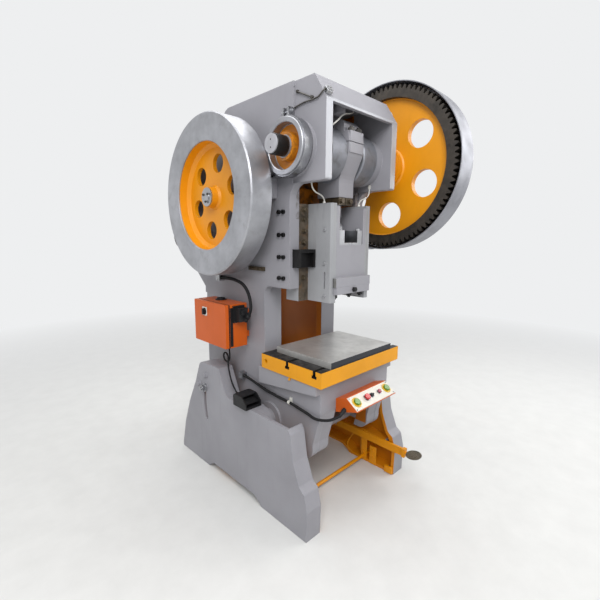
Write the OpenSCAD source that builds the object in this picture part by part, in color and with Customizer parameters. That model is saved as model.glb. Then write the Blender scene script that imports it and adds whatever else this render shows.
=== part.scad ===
/* [Ram and stroke] */
// Stroke of the ram, twice the crank throw
stroke = 130; // [80:5:160]
// Width of the ram between its guides
ram_w = 290; // [240:5:300]
// Depth of the ram, front to back
ram_d = 280; // [240:5:300]
// Height of the ram's lower face above the floor, ram at the top of its stroke
ram_low_z = 1443; // [1420:1:1460]
// Height of the ram, without the clamp plate
ram_h = 482; // [440:2:500]
// Diameter of the bore for the tool shank
shank_d = 60; // [40:5:70]

/* [Frame casting] */
// Width over the side walls
body_w = 700; // [680:2:710]
// Thickness of the side walls
wall_t = 50; // [35:1:60]
// Width over the head's two front cheeks
head_w = 676; // [660:2:690]
// Thickness of the head's front cheeks
cheek_t = 53; // [40:1:60]
// Distance from the ram's axis to the face of the throat
throat_depth = 290; // [275:5:300]
// Distance from the ram's axis to the front of the head
head_reach = 217; // [200:1:225]
// Distance from the ram's axis to the back of the casting
body_back = 1010; // [980:5:1040]
// Height of the casting's top
top_z = 2595; // [2560:5:2640]
// Height of the head's lower edge
head_low_z = 2050; // [2020:5:2070]
// Height of the throat's upper edge
throat_top_z = 1430; // [1400:5:1440]
// Height of the casting's lowest edge
body_low_z = 385; // [370:5:420]
// Half width of the window between the front flanges
window_half_w = 205; // [180:5:220]

/* [Table] */
// Height of the bolster's upper face
bolster_z = 991; // [960:1:1010]
// Width of the bolster plate
bolster_w = 800; // [760:2:802]
// Depth of the bolster plate
bolster_d = 530; // [500:2:550]
// Thickness of the bolster plate
bolster_t = 95; // [80:1:100]
// Width of the steel plate on the bolster
plate_w = 620; // [560:5:700]
// Depth of the steel plate on the bolster
plate_d = 475; // [420:5:500]
// Thickness of the steel plate on the bolster
plate_t = 38; // [20:1:50]
// Neck width of the bolster's T slots
slot_w = 22; // [18:1:28]
// Head width of the bolster's T slots
slot_head_w = 38; // [32:1:46]

/* [Base legs] */
// Clear width between the two legs
leg_gap = 804; // [804:2:830]
// Width of each leg
leg_w = 117; // [100:1:130]
// Wall thickness of the leg castings
leg_t = 22; // [16:1:28]
// Height of the legs' low front part over the pivot
leg_rise = 100; // [85:5:120]
// Height of a leg's rear post
leg_post_h = 828; // [800:2:836]
// Distance from the ram's axis back to the pivot of the tilting frame
pivot_y = 235; // [215:5:255]
// Height of the pivot
pivot_z = 540; // [520:5:560]
// Diameter of the pivot stubs
pivot_d = 120; // [90:5:140]
// Diameter of the holes for foundation bolts
anchor_d = 26; // [18:1:34]

/* [Crank train] */
// Height of the crankshaft's axis
crank_z = 2233; // [2220:1:2240]
// Diameter of the crankshaft's main journals
journal_d = 150; // [120:2:160]
// Diameter of the crank pin
pin_d = 160; // [130:2:170]
// Outer diameter of the connecting rod's big end
big_end_d = 316; // [290:2:320]
// Width of the connecting rod
rod_w = 140; // [110:2:146]
// Diameter of the ball at the end of the adjusting screw
ball_d = 120; // [100:2:126]

/* [Drive] */
// Module of the gear teeth
gear_module = 12; // [12:1:12]
// Teeth of the large gear
gear_teeth = 90; // [84:2:90]
// Teeth of the pinion
pinion_teeth = 15; // [15:1:17]
// Face width of the large gear
gear_face = 120; // [90:2:130]
// Diameter of the flywheel
flywheel_d = 1004; // [960:2:1010]
// Width of the flywheel's rim
flywheel_w = 151; // [140:1:160]
// Diameter of the flywheel's recess
recess_d = 668; // [640:2:700]
// Outer diameter of the belt ring behind the flywheel
belt_ring_d = 740; // [700:10:740]
// Outer diameter of the motor pulley
pulley_d = 210; // [180:5:220]
// Outer diameter of the brake drum
drum_d = 304; // [280:2:310]

/* [Controls] */
// Width of the control cabinet, front to back
cabinet_w = 395; // [340:5:400]
// Height of the control cabinet
cabinet_h = 294; // [280:2:310]
// Depth of the control cabinet's box
cabinet_d = 135; // [110:5:145]
// Width of the two hand control panel
panel_w = 415; // [380:5:430]
// Diameter of the conduit and the leads
lead_d = 18; // [12:1:20]

/* [Hidden] */
$fn = 64;

// Running clearance of shafts in their bushes and of pins in their holes
run_gap = 0.05;
// Gap between faces of pieces that move past each other
slide_gap = 0.4;
half_body = body_w / 2;
throw = stroke / 2;
ram_top_z = ram_low_z + ram_h;
ram_half = ram_w / 2;
ram_half_d = ram_d / 2;

// Front faces, measured back from the ram's axis
guide_front = 48;
table_front = -215;
cheek_front = -160;
head_front = -head_reach;
head_chamfer_y = 87;
head_chamfer_z = 133;
head_inner = head_w / 2 - cheek_t;
bolster_low_z = bolster_z - bolster_t;
table_half_w = bolster_w / 2 - 8;
lug_out = 12;

// Drive train
gear_pitch_r = gear_module * gear_teeth / 2;
gear_tip_r = gear_pitch_r + 0.85 * gear_module;
gear_root_r = gear_pitch_r - 1.25 * gear_module;
pinion_pitch_r = gear_module * pinion_teeth / 2;
pinion_tip_r = pinion_pitch_r + gear_module;
pinion_root_r = pinion_pitch_r - 1.25 * gear_module;
gear_pressure = 20;
flank_play = 0.7;
pinion_drop = 239;
centre_distance = gear_pitch_r + pinion_pitch_r;
pinion_y = sqrt(centre_distance * centre_distance - pinion_drop * pinion_drop);
pinion_z = crank_z - pinion_drop;
mesh_angle = atan2(-pinion_drop, pinion_y);
gear_x = half_body + 171;
guard_gap = 24;
guard_r = gear_tip_r + guard_gap;
guard_t = 6;
guard_x = gear_x - 6;
guard_w = gear_face + 51;
pinion_guard_r = pinion_tip_r + guard_gap;
belt_ring_x = half_body + 32;
belt_count = 3;
belt_pitch = 20;
belt_ring_w = 70;
fly_in_x = belt_ring_x + belt_ring_w;
fly_out_x = fly_in_x + flywheel_w;
drum_out_x = fly_in_x - 6;
shaft_d = 110;
boss_out_x = half_body + lug_out;
boss_in_x = 225;
boss_r = 150;
bush_t = 12;
web_in_x = 78;
web_out_x = 213;
web_r = max(throw + pin_d / 2, journal_d / 2) + 15;
drum_in_x = half_body + 22;
crank_end_x = half_body + 184;
crank_end_r = 55;
ball_z = ram_top_z - 135;
rod_low_z = ram_top_z + 60;

// Motor behind the frame
motor_y = 1215;
motor_z = 1760;
motor_r = 130;
motor_x0 = -half_body - 2;
motor_len = 330;

// Ram guides, in the casting's pocket
guide_back = 162;
guide_pocket_half = ram_half + 128;
rail_out_x = ram_half + 45;
vee_y = 100;
vee_h = 18;
guide_low_z = throat_top_z - 82;
guide_top_z = ram_top_z + 17;
gib_bolt_z = [guide_low_z + 145, guide_low_z + 274, guide_low_z + 408, guide_low_z + 544];
gib_bolt_y = [guide_front + 52, guide_front + 92];
gib_bolt_d = 26;
stop_z = throat_top_z + 130;

// Walls and ribs of the casting
flange_t = 55;
head_step_y = 20;
table_low_z = bolster_low_z - 60;
waste_hole_d = 160;
rear_window_w = 360;
trunnion_out = 100;
bearing_w = 95;
cover_t = 12;
pinion_boss_r = shaft_d / 2 + 55;

// Bolster slots and the steel plate
slot_rows = [-bolster_d / 2 + 55, 18];
plate_front = 5 - bolster_d / 2;

// Legs
leg_in_x = leg_gap / 2;
leg_low_h = pivot_z + leg_rise;
leg_out_x = leg_in_x + leg_w;
leg_front = -280;
leg_back = 1186;
arc_slot_r = 570;
arc_slot_w = 34;
tilt_range = 18;
tilt_bolt_d = 30;
tilt_bolt_rise = 9;
tilt_bolt_y = pivot_y + arc_slot_r * cos(tilt_bolt_rise);
tilt_bolt_z = pivot_z + arc_slot_r * sin(tilt_bolt_rise);
foot_h = 22;
tie_rod_r = 12.5;
tie_rod_spots = [[-6, leg_t + 20], [1000, leg_t + 40], [1030, 372]];

// Foot switch and treadle
switch_y = 245;
switch_w = 126;
switch_d = 140;
switch_x = -leg_out_x - 31;
treadle_x = leg_in_x - 26;
treadle_y = 275;
treadle_z = 225;
lever_tip = 400;

// Cabinet on the left side
cabinet_y = 435;
cabinet_low_z = 1010;
cabinet_in_x = half_body + 40;
cabinet_out_x = cabinet_in_x + cabinet_d;
door_gap = 10;
door_t = 25;
door_out_x = cabinet_out_x + door_gap + door_t;
door_hinge_x = door_out_x - door_t + 8;

// Panel on the front of the table: its sloped face from its upper to its lower edge
panel_half = panel_w / 2;
panel_top = [table_front - 76, bolster_low_z - 100];
panel_low = [table_front - 164, bolster_low_z - 163];
panel_slope = atan2(panel_top[1] - panel_low[1], panel_top[0] - panel_low[0]);
panel_face_d = norm(panel_top - panel_low);

// Places along the crankshaft and the pinion shaft
gear_seat_x = half_body + 38;
gear_seat_r = journal_d / 2 - 5;
gear_hub_x = gear_x - 51;
gear_hub_r = 130;
gear_end_x = gear_x + gear_face + 12;
gear_rim_r = gear_root_r - 54;
fly_web_x = fly_out_x - 83;
fly_hub_x = fly_out_x - 30;
belt_mid_x = (belt_ring_x + fly_in_x) / 2;
band_in_r = drum_d / 2 + 0.4;
band_in_x = half_body + 28;
band_out_x = half_body + 84;
band_tab_y = sqrt(pow(band_in_r + 1.5, 2) - 130 * 130);
anchor_front = 160;
screw_r = 45;
pocket_z = ball_z - ball_d / 2 - 32;
knob_y = cabinet_y + 257;
knob_z = cabinet_low_z + 222;
socket_x = 455;
conduit_r = lead_d / 2 + 2;
foot_lead_r = lead_d / 3;
button_up = panel_face_d - 52;
button_x = [-157, -56, -4, 77, 157];

// Whole outline, for the origin at the middle of the base
x_low = -fly_out_x;
x_high = guard_x + guard_w;
y_low = -guard_r;
y_high = motor_y + motor_r;

module at_origin() translate([-(x_low + x_high) / 2, -(y_low + y_high) / 2, 0]) children();

// Points of an arc that rounds the corner b between a and c
function corner_arc(a, b, c, r) =
    let (u = (a - b) / norm(a - b),
        v = (c - b) / norm(c - b),
        half = acos(max(-1, min(1, u * v))) / 2,
        reach = r / tan(half),
        mid = (u + v) / norm(u + v),
        centre = b + mid * r / sin(half),
        p = b + u * reach - centre,
        q = b + v * reach - centre,
        turn = p[0] * q[1] - p[1] * q[0] > 0 ? 1 : -1,
        sweep = turn * (180 - 2 * half),
        steps = max(2, ceil(abs(sweep) / 18)))
    [for (i = [0 : steps])
        let (w = sweep * i / steps)
        centre + [p[0] * cos(w) - p[1] * sin(w), p[0] * sin(w) + p[1] * cos(w)]];

// Outline with each corner [x, y, r] rounded by its own radius
function round_outline(pts) =
    [for (i = [0 : len(pts) - 1])
        let (n = len(pts),
            a = pts[(i + n - 1) % n],
            b = pts[i],
            c = pts[(i + 1) % n])
        each (b[2] == 0 ? [[b[0], b[1]]]
            : corner_arc([a[0], a[1]], [b[0], b[1]], [c[0], c[1]], b[2]))];

// Stands a flat outline drawn in depth and height up across the press, from x to x + t
module across(x, t) translate([x, 0, 0]) rotate([90, 0, 90]) linear_extrude(t) children();

// Cylinder along the press's width, from x to x + t, at depth y and height z
module shaft_x(x, t, r, y = 0, z = crank_z) translate([x, y, z]) rotate([0, 90, 0]) cylinder(h = t, r = r);

// Cylinder along the press's depth
module shaft_y(y, t, r, x, z) translate([x, y, z]) rotate([-90, 0, 0]) cylinder(h = t, r = r);

module block(x0, x1, y0, y1, z0, z1) translate([x0, y0, z0]) cube([x1 - x0, y1 - y0, z1 - z0]);

module both_sides() {
    children();
    mirror([1, 0, 0]) children();
}

// Six sided bolt head or nut standing on the plane z = 0
module hex_head(across_flats, h) cylinder(h = h, r = across_flats / sqrt(3), $fn = 6);

// Socket head screw's head, standing on the plane z = 0
module socket_head(d, h) {
    difference() {
        cylinder(h = h, d = d);
        translate([0, 0, h * 0.45]) hex_head(d * 0.5, h);
    }
}

// Tube swept along hand chosen points
function unit(v) = v / norm(v);
function route_dir(pts, i) =
    i == 0 ? unit(pts[1] - pts[0])
    : i == len(pts) - 1 ? unit(pts[i] - pts[i - 1])
    : unit(unit(pts[i + 1] - pts[i]) + unit(pts[i] - pts[i - 1]));
function smooth_route(pts, cuts) =
    [for (i = [0 : len(pts) - 2])
        let (p0 = pts[max(i - 1, 0)],
            p1 = pts[i],
            p2 = pts[i + 1],
            p3 = pts[min(i + 2, len(pts) - 1)])
        for (k = [0 : cuts - 1])
            let (t = k / cuts)
            0.5 * (2 * p1 + (p2 - p0) * t + (2 * p0 - 5 * p1 + 4 * p2 - p3) * t * t
                + (3 * p1 - p0 - 3 * p2 + p3) * t * t * t),
        pts[len(pts) - 1]];
module lead_tube(pts, r, sides = 8) {
    rings = [for (i = [0 : len(pts) - 1])
        let (d = route_dir(pts, i),
            ref = abs(d[2]) > 0.9 ? [0, 1, 0] : [0, 0, 1],
            u = unit(cross(d, ref)),
            v = cross(u, d))
        for (k = [0 : sides - 1])
            pts[i] + r * (u * cos(360 * k / sides) + v * sin(360 * k / sides))];
    n = len(pts);
    polyhedron(rings, concat(
        [[for (k = [0 : sides - 1]) k]],
        [[for (k = [sides - 1 : -1 : 0]) (n - 1) * sides + k]],
        [for (i = [0 : n - 2]) for (k = [0 : sides - 1])
            [i * sides + k, (i + 1) * sides + k, (i + 1) * sides + (k + 1) % sides,
                i * sides + (k + 1) % sides]]));
}

// Side view of the frame casting: depth and height, each corner with its radius
body_outline = round_outline([
    [table_front, bolster_low_z, 0], [table_front, bolster_low_z - 200, 60],
    [cheek_front, body_low_z + 110, 60], [cheek_front, body_low_z, 70],
    [body_back - 150, body_low_z, 120], [body_back, body_low_z + 170, 90],
    [body_back, 1700, 200], [body_back - 150, top_z - 180, 120], [body_back - 330, top_z, 90],
    [head_front + head_chamfer_y, top_z, 0], [head_front, top_z - head_chamfer_z, 0],
    [head_front, head_low_z, 12], [guide_front, head_low_z, 90], [guide_front, throat_top_z, 8],
    [throat_depth, throat_top_z, 50], [throat_depth, bolster_low_z, 0]]);

module trunnion() {
    shaft_x(-half_body - trunnion_out, trunnion_out + 20, pivot_d / 2, pivot_y, pivot_z);
    shaft_x(-boss_out_x, lug_out + 10, pivot_d / 2 + 45, pivot_y, pivot_z);
}

module guide_seat() {
    block(-half_body + 1, -guide_pocket_half, guide_front, guide_back + 50, throat_top_z, head_low_z);
}

module head_cheek() {
    intersection() {
        across(-head_w / 2, cheek_t) polygon(body_outline);
        block(-head_w, 0, head_front - 1, guide_front + 60, head_low_z - 1, top_z + 1);
    }
}

module left_half_of_body() {
    difference() {
        across(-half_body, wall_t) polygon(body_outline);
        block(-half_body - 1, -half_body + wall_t + 1, head_front - 1, head_step_y, head_low_z - 1,
            top_z + 1);
    }
    head_cheek();
    guide_seat();
    shaft_x(-boss_out_x, boss_out_x - boss_in_x, boss_r);
    shaft_x(-boss_out_x, boss_out_x - half_body + wall_t + 40, pinion_boss_r, pinion_y, pinion_z);
    block(-half_body + 1, -window_half_w, throat_depth, throat_depth + flange_t, table_low_z,
        throat_top_z + 10);
    across(-half_body + 1, half_body - window_half_w - 1) polygon(round_outline([
        [table_front + 2, table_low_z, 0], [table_front + 2, bolster_low_z - 200, 60],
        [cheek_front + 2, body_low_z + 110, 60], [cheek_front + 2, body_low_z + 4, 68],
        [cheek_front + flange_t + 60, body_low_z + 4, 0], [table_front + flange_t, table_low_z, 0]]));
    trunnion();
}

// Table: a thick slab with a front apron, and the round hole for waste
module table_block() {
    difference() {
        across(-table_half_w, 2 * table_half_w) polygon([
            [table_front, bolster_low_z], [throat_depth + 20, bolster_low_z],
            [throat_depth + 20, table_low_z - 60], [table_front, table_low_z]]);
        translate([0, 0, table_low_z - 80]) cylinder(h = 300, d = waste_hole_d);
    }
    block(-half_body + 1, half_body - 1, table_front, table_front + 50, bolster_low_z - 190,
        bolster_low_z - 1);
}

module frame_casting() at_origin() color([0.68, 0.7, 0.73]) {
    difference() {
        union() {
            both_sides() left_half_of_body();
            table_block();
            block(1 - half_body, half_body - 1, body_back - 50, body_back - 2, body_low_z + 220, 1560);
            block(1 - half_body, half_body - 1, guide_front, throat_depth + 40, throat_top_z,
                throat_top_z + 45);
            block(1 - half_body, half_body - 1, guide_back, guide_back + 50, throat_top_z, head_low_z);
            block(1 - half_body, half_body - 1, guide_back + 85, guide_back + 130, head_low_z - 120,
                top_z - 20);
            block(1 - half_body, half_body - 1, head_step_y - 2, body_back - 345, top_z - 30, top_z);
            across(1 - head_w / 2, head_w - 2) polygon([
                [head_front, top_z - head_chamfer_z], [head_front + head_chamfer_y, top_z],
                [head_step_y + 10, top_z], [head_step_y + 10, top_z - 30],
                [head_front + head_chamfer_y + 14, top_z - 30],
                [head_front + 26, top_z - head_chamfer_z - 12],
                [head_front, top_z - head_chamfer_z - 12]]);
            block(1 - half_body, half_body - 1, 60, body_back - 160, body_low_z + 2, body_low_z + 50);
        }
        shaft_x(-half_body - 100, 2 * half_body + 200, journal_d / 2 + bush_t);
        shaft_x(-half_body - 100, 2 * half_body + 200, shaft_d / 2 + bush_t, pinion_y, pinion_z);
        block(-rear_window_w / 2, rear_window_w / 2, body_back - 60, body_back + 10,
            body_low_z + 420, body_low_z + 940);
        block(-ram_half - 6, ram_half + 6, guide_front - 1, guide_back, throat_top_z - 1,
            throat_top_z + 60);
        block(-guide_pocket_half, guide_pocket_half, guide_front - 1, guide_back,
            throat_top_z - 1, throat_top_z + 60);
    }
}

// Cap screws of the guides, in pairs down both sides of the casting
module gib_bolts() at_origin() color([0.12, 0.12, 0.13]) {
    both_sides() for (z = gib_bolt_z) for (y = gib_bolt_y)
        translate([-half_body, y, z]) rotate([0, -90, 0]) socket_head(gib_bolt_d, 14);
}

// Bronze bushes of the crankshaft
module crank_bushes() at_origin() color([0.72, 0.55, 0.3]) {
    both_sides() difference() {
        shaft_x(-boss_out_x, boss_out_x - boss_in_x, journal_d / 2 + bush_t);
        shaft_x(-boss_out_x - 1, boss_out_x - boss_in_x + 2, journal_d / 2 + run_gap);
    }
}

// Bearings of the pinion shaft
module pinion_bearings() at_origin() color([0.6, 0.62, 0.65]) {
    both_sides() difference() {
        shaft_x(-boss_out_x, bearing_w, shaft_d / 2 + bush_t, pinion_y, pinion_z);
        shaft_x(-boss_out_x - 1, bearing_w + 2, shaft_d / 2 + run_gap, pinion_y, pinion_z);
    }
}

// Bolted covers that close the crankshaft and pinion bearings from outside
module bearing_cover(hole_r, cover_r, y, z) {
    difference() {
        shaft_x(-boss_out_x - cover_t, cover_t, cover_r, y, z);
        shaft_x(-boss_out_x - cover_t - 1, cover_t + 2, hole_r + 1.5, y, z);
    }
    for (w = [0 : 60 : 300])
        translate([-boss_out_x - cover_t, y + (cover_r - 14) * cos(w), z + (cover_r - 14) * sin(w)])
            rotate([0, -90, 0]) hex_head(17, 8);
}

module shaft_covers() at_origin() color([0.66, 0.68, 0.71]) {
    both_sides() bearing_cover(shaft_d / 2, pinion_boss_r - 10, pinion_y, pinion_z);
    mirror([1, 0, 0]) bearing_cover(journal_d / 2, boss_r - 25, 0, crank_z);
}

// Guide of the ram: a base in the casting's pocket and a rail that reaches forward
module guide_profile() {
    polygon([
        [-guide_pocket_half + 0.2, guide_front + 3], [-rail_out_x, guide_front + 3],
        [-rail_out_x, -ram_half_d + 10], [-rail_out_x + 8, -ram_half_d],
        [-ram_half - slide_gap, -ram_half_d], [-ram_half - slide_gap, vee_y - vee_h],
        [-ram_half + vee_h - slide_gap, vee_y], [-ram_half - slide_gap, vee_y + vee_h],
        [-ram_half - slide_gap, guide_back - 0.2], [-guide_pocket_half + 0.2, guide_back - 0.2]]);
}

module ram_guide() {
    difference() {
        translate([0, 0, guide_low_z]) linear_extrude(guide_top_z - guide_low_z) guide_profile();
        block(-rail_out_x - 1, -rail_out_x + 12, -ram_half_d + 45, -ram_half_d + 57,
            guide_low_z + 85, guide_low_z + 185);
    }
    for (z = [guide_low_z + 40, guide_low_z + 240, guide_low_z + 440])
        translate([-rail_out_x, -ram_half_d + 52, z]) rotate([0, -90, 0]) socket_head(20, 10);
}

module left_guide() at_origin() color([0.6, 0.63, 0.62]) ram_guide();
module right_guide() at_origin() color([0.6, 0.63, 0.62]) mirror([1, 0, 0]) ram_guide();

// Black stop brackets on the front of the casting, beside the ram
module stop_brackets() at_origin() color([0.1, 0.1, 0.11]) {
    both_sides() {
        difference() {
            block(-guide_pocket_half - 55, -rail_out_x - 1, guide_front - 62, guide_front,
                stop_z, stop_z + 110);
            block(-guide_pocket_half - 40, -rail_out_x - 16, guide_front - 63, guide_front - 30,
                stop_z - 1, stop_z + 90);
        }
        translate([-guide_pocket_half - 28, guide_front - 30, stop_z + 30])
            rotate([90, 0, 0]) hex_head(24, 14);
    }
}

module bolster_plate() at_origin() color([0.9, 0.62, 0.1]) {
    difference() {
        block(-bolster_w / 2, bolster_w / 2, -bolster_d / 2, bolster_d / 2, bolster_low_z, bolster_z);
        for (y = slot_rows) {
            block(-bolster_w / 2 - 1, bolster_w / 2 + 1, y - slot_w / 2, y + slot_w / 2,
                bolster_z - 46, bolster_z + 1);
            block(-bolster_w / 2 - 1, bolster_w / 2 + 1, y - slot_head_w / 2, y + slot_head_w / 2,
                bolster_z - 46, bolster_z - 28);
        }
        both_sides() shaft_x(-bolster_w / 2 - 1, 40, 13, bolster_d / 2 - 45, bolster_z - 44);
        translate([0, 0, bolster_low_z - 1]) cylinder(h = bolster_t + 2, d = waste_hole_d);
    }
    both_sides() shaft_x(-table_half_w - 10, 10, 8, 0, bolster_low_z - 12);
}

module die_plate() at_origin() color([0.8, 0.81, 0.82]) {
    block(-plate_w / 2, plate_w / 2, plate_front, plate_front + plate_d, bolster_z,
        bolster_z + plate_t);
}

// Side view of a leg: a low front part, a high rear post and two feet
leg_outline = round_outline([
    [leg_front + 5, 0, 0], [leg_front, 189, 20], [leg_front + 25, 290, 20], [-214, 321, 20],
    [-162, 454, 40], [-138, leg_low_h - 28, 14], [-118, leg_low_h, 10],
    [519, leg_low_h, 40], [609, leg_post_h - 6, 14], [640, leg_post_h, 14],
    [860, leg_post_h - 10, 60], [933, 647, 100], [1044, 447, 100], [1129, 243, 80],
    [leg_back, 30, 30], [leg_back, 0, 0], [775, 0, 0], [755, foot_h, 10], [700, 50, 20],
    [215, 50, 20], [160, foot_h, 10], [139, 0, 0]]);

// The hollow of a leg, one wall's thickness inside its outline
leg_hollow = round_outline([
    [leg_front + leg_t + 8, leg_t, 6], [leg_front + leg_t + 4, 186, 14], [leg_front + 40 + leg_t, 278, 14],
    [-192, 306, 14], [-140, 450, 30], [-112, leg_low_h - 34, 8],
    [-104, leg_low_h + 60, 0], [440, leg_low_h + 60, 0], [440, leg_low_h - 50, 30],
    [536, leg_low_h - 30, 20], [620, leg_post_h - 34, 14], [650, leg_post_h - 28, 10],
    [850, leg_post_h - 38, 50], [912, 640, 90], [1023, 440, 90], [1106, 238, 70],
    [leg_back - leg_t - 8, 48, 20], [leg_back - leg_t - 8, leg_t, 6], [790, leg_t, 10],
    [710, 50 + leg_t, 20], [205, 50 + leg_t, 20], [125, leg_t, 10]]);

// Slot for the clamping bolts, an arc about the pivot
module arc_slot(r, w, from, to) {
    for (side = [0, 1])
        translate([r * cos(side == 0 ? from : to), r * sin(side == 0 ? from : to)]) circle(d = w);
    difference() {
        circle(r = r + w / 2, $fn = 180);
        circle(r = r - w / 2, $fn = 180);
        rotate(to) translate([-2 * r, 0]) square([4 * r, 2 * r]);
        rotate(from) translate([-2 * r, -2 * r]) square([4 * r, 2 * r]);
    }
}

module leg_pivot_boss() {
    intersection() {
        shaft_x(-leg_out_x + leg_t - 2, leg_w - leg_t + 2, pivot_d / 2 + 34, pivot_y, pivot_z);
        across(-leg_out_x + 1, leg_w) polygon(leg_outline);
    }
}

// Ribs that stand in a leg's hollow
module leg_ribs() {
    block(-leg_out_x + 2, -leg_in_x - 4, 10, 10 + leg_t, 60, 190);
    block(-leg_out_x + 2, -leg_in_x - 4, -200, 180, 224, 224 + leg_t);
    block(-leg_out_x + 2, -leg_in_x, switch_y, switch_y + 18, 560, leg_low_h);
    block(-leg_out_x + 2, -leg_in_x, switch_y + switch_d - 18, switch_y + switch_d, 560, leg_low_h);
    block(-leg_out_x + 2, -leg_in_x - 30, 440, 440 + leg_t, 70, leg_low_h - 40);
    block(-leg_out_x + 2, -leg_in_x - 30, 860, 860 + leg_t, 40, 690);
}

module anchor_holes() {
    for (y = [leg_front + 60, leg_back - 60])
        translate([-leg_in_x - leg_w / 2 + 8, y, -1]) cylinder(h = leg_t + 2, d = anchor_d);
}

module leg() {
    difference() {
        union() {
            difference() {
                across(-leg_out_x, leg_w) polygon(leg_outline);
                across(-leg_out_x + leg_t, leg_w) polygon(leg_hollow);
            }
            intersection() {
                leg_ribs();
                across(-leg_out_x + 1, leg_w - 1) polygon(leg_outline);
            }
            leg_pivot_boss();
            across(-leg_out_x + leg_t - 2, 30) translate([pivot_y, pivot_z])
                arc_slot(arc_slot_r, arc_slot_w + 50, -tilt_range + tilt_bolt_rise - 8, tilt_bolt_rise + 2);
        }
        shaft_x(-leg_out_x + leg_t, leg_w, pivot_d / 2 + run_gap, pivot_y, pivot_z);
        across(-leg_out_x - 1, 60) translate([pivot_y, pivot_z])
            arc_slot(arc_slot_r, arc_slot_w, -tilt_range + tilt_bolt_rise - 6, tilt_bolt_rise);
        anchor_holes();
    }
    for (spot = [[873, leg_low_h], [779, leg_post_h - 98]])
        translate([-leg_out_x, spot[0], spot[1]]) rotate([0, -90, 0]) {
            cylinder(h = 5, d = 44);
            translate([0, 0, 5]) hex_head(30, 16);
        }
}

module left_leg() at_origin() color([0.68, 0.7, 0.73]) leg();

// The right leg also carries the boss and pin on which the treadle turns
module right_leg() at_origin() color([0.68, 0.7, 0.73]) {
    mirror([1, 0, 0]) leg();
    shaft_x(leg_in_x, leg_w - leg_t + 2, 34, treadle_y, treadle_z);
    shaft_x(treadle_x - 9, leg_in_x - treadle_x + 10, 14, treadle_y, treadle_z);
    shaft_x(treadle_x - 16, 15, 20, treadle_y, treadle_z);
    shaft_x(treadle_x + 17, leg_in_x - treadle_x - 16, 20, treadle_y, treadle_z);
}

// Rods that tie the two legs together near the floor
module tie_bars() at_origin() color([0.9, 0.62, 0.1]) {
    for (spot = tie_rod_spots)
        shaft_x(-leg_out_x + leg_t, 2 * (leg_out_x - leg_t), tie_rod_r, spot[0], spot[1]);
}

// Foot switch resting on the top of the left leg
module foot_switch() at_origin() color([0.13, 0.13, 0.14]) {
    difference() {
        block(switch_x, switch_x + switch_w, switch_y, switch_y + switch_d, leg_low_h, leg_low_h + 14);
        block(switch_x + 14, switch_x + switch_w - 14, switch_y + 12, switch_y + 84,
            leg_low_h + 6, leg_low_h + 15);
    }
    for (x = [switch_x, switch_x + switch_w - 8])
        across(x, 8) polygon(round_outline([
            [switch_y, leg_low_h + 14, 0], [switch_y, leg_low_h + 34, 12],
            [switch_y + 46, leg_low_h + 80, 24], [switch_y + switch_d, leg_low_h + 80, 20],
            [switch_y + switch_d, leg_low_h + 14, 0]]));
    across(switch_x + 8, switch_w - 16) polygon([
        [switch_y + 50, leg_low_h + 72], [switch_y + 50, leg_low_h + 80],
        [switch_y + switch_d - 10, leg_low_h + 80], [switch_y + switch_d, leg_low_h + 70],
        [switch_y + switch_d, leg_low_h + 14], [switch_y + switch_d - 30, leg_low_h + 14],
        [switch_y + switch_d - 30, leg_low_h + 72]]);
    shaft_x(switch_x + 4, switch_w - 8, 4, switch_y + 96, leg_low_h + 40);
    difference() {
        shaft_y(switch_y + switch_d, 18, 13, switch_x + switch_w / 2, leg_low_h + 44);
        shaft_y(switch_y + switch_d + 4, 18, foot_lead_r + 1, switch_x + switch_w / 2, leg_low_h + 44);
    }
}

// Treadle plate of the foot switch, hinged under its hood
module foot_switch_pedal() at_origin() color([0.25, 0.25, 0.26]) {
    difference() {
        union() {
            across(switch_x + 10, switch_w - 20) polygon([
                [switch_y + 14, leg_low_h + 30], [switch_y + 14, leg_low_h + 35],
                [switch_y + 78, leg_low_h + 46], [switch_y + 96, leg_low_h + 47],
                [switch_y + 96, leg_low_h + 33], [switch_y + 80, leg_low_h + 38]]);
            shaft_x(switch_x + 10, switch_w - 20, 7, switch_y + 96, leg_low_h + 40);
        }
        shaft_x(switch_x + 9, switch_w - 18, 4 + run_gap, switch_y + 96, leg_low_h + 40);
    }
    for (i = [0 : 5])
        across(switch_x + 20, switch_w - 40) polygon([
            [switch_y + 20 + 9 * i, leg_low_h + 35 + 1.55 * i],
            [switch_y + 22 + 9 * i, leg_low_h + 38 + 1.55 * i],
            [switch_y + 26 + 9 * i, leg_low_h + 38.6 + 1.55 * i],
            [switch_y + 28 + 9 * i, leg_low_h + 36.4 + 1.55 * i]]);
}

// Treadle bar beside the right leg, with its square end and rubber stud
module pedal_lever() at_origin() color([0.9, 0.62, 0.1]) {
    difference() {
        across(treadle_x, 16) polygon(round_outline([
            [treadle_y + 34, treadle_z - 30, 26], [treadle_y + 34, treadle_z + 32, 26],
            [treadle_y - 60, treadle_z + 32, 20], [-300, treadle_z + 30, 10],
            [-352, treadle_z + 30, 0], [-352, treadle_z - 26, 0], [-300, treadle_z - 28, 10],
            [treadle_y - 60, treadle_z - 24, 20]]));
        shaft_x(treadle_x - 1, 18, 14 + run_gap, treadle_y, treadle_z);
    }
    block(treadle_x - 12, treadle_x + 28, -376, -352, treadle_z - 28, treadle_z + 32);
    shaft_y(-lever_tip, lever_tip - 376, 11, treadle_x + 8, treadle_z + 2);
}

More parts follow.
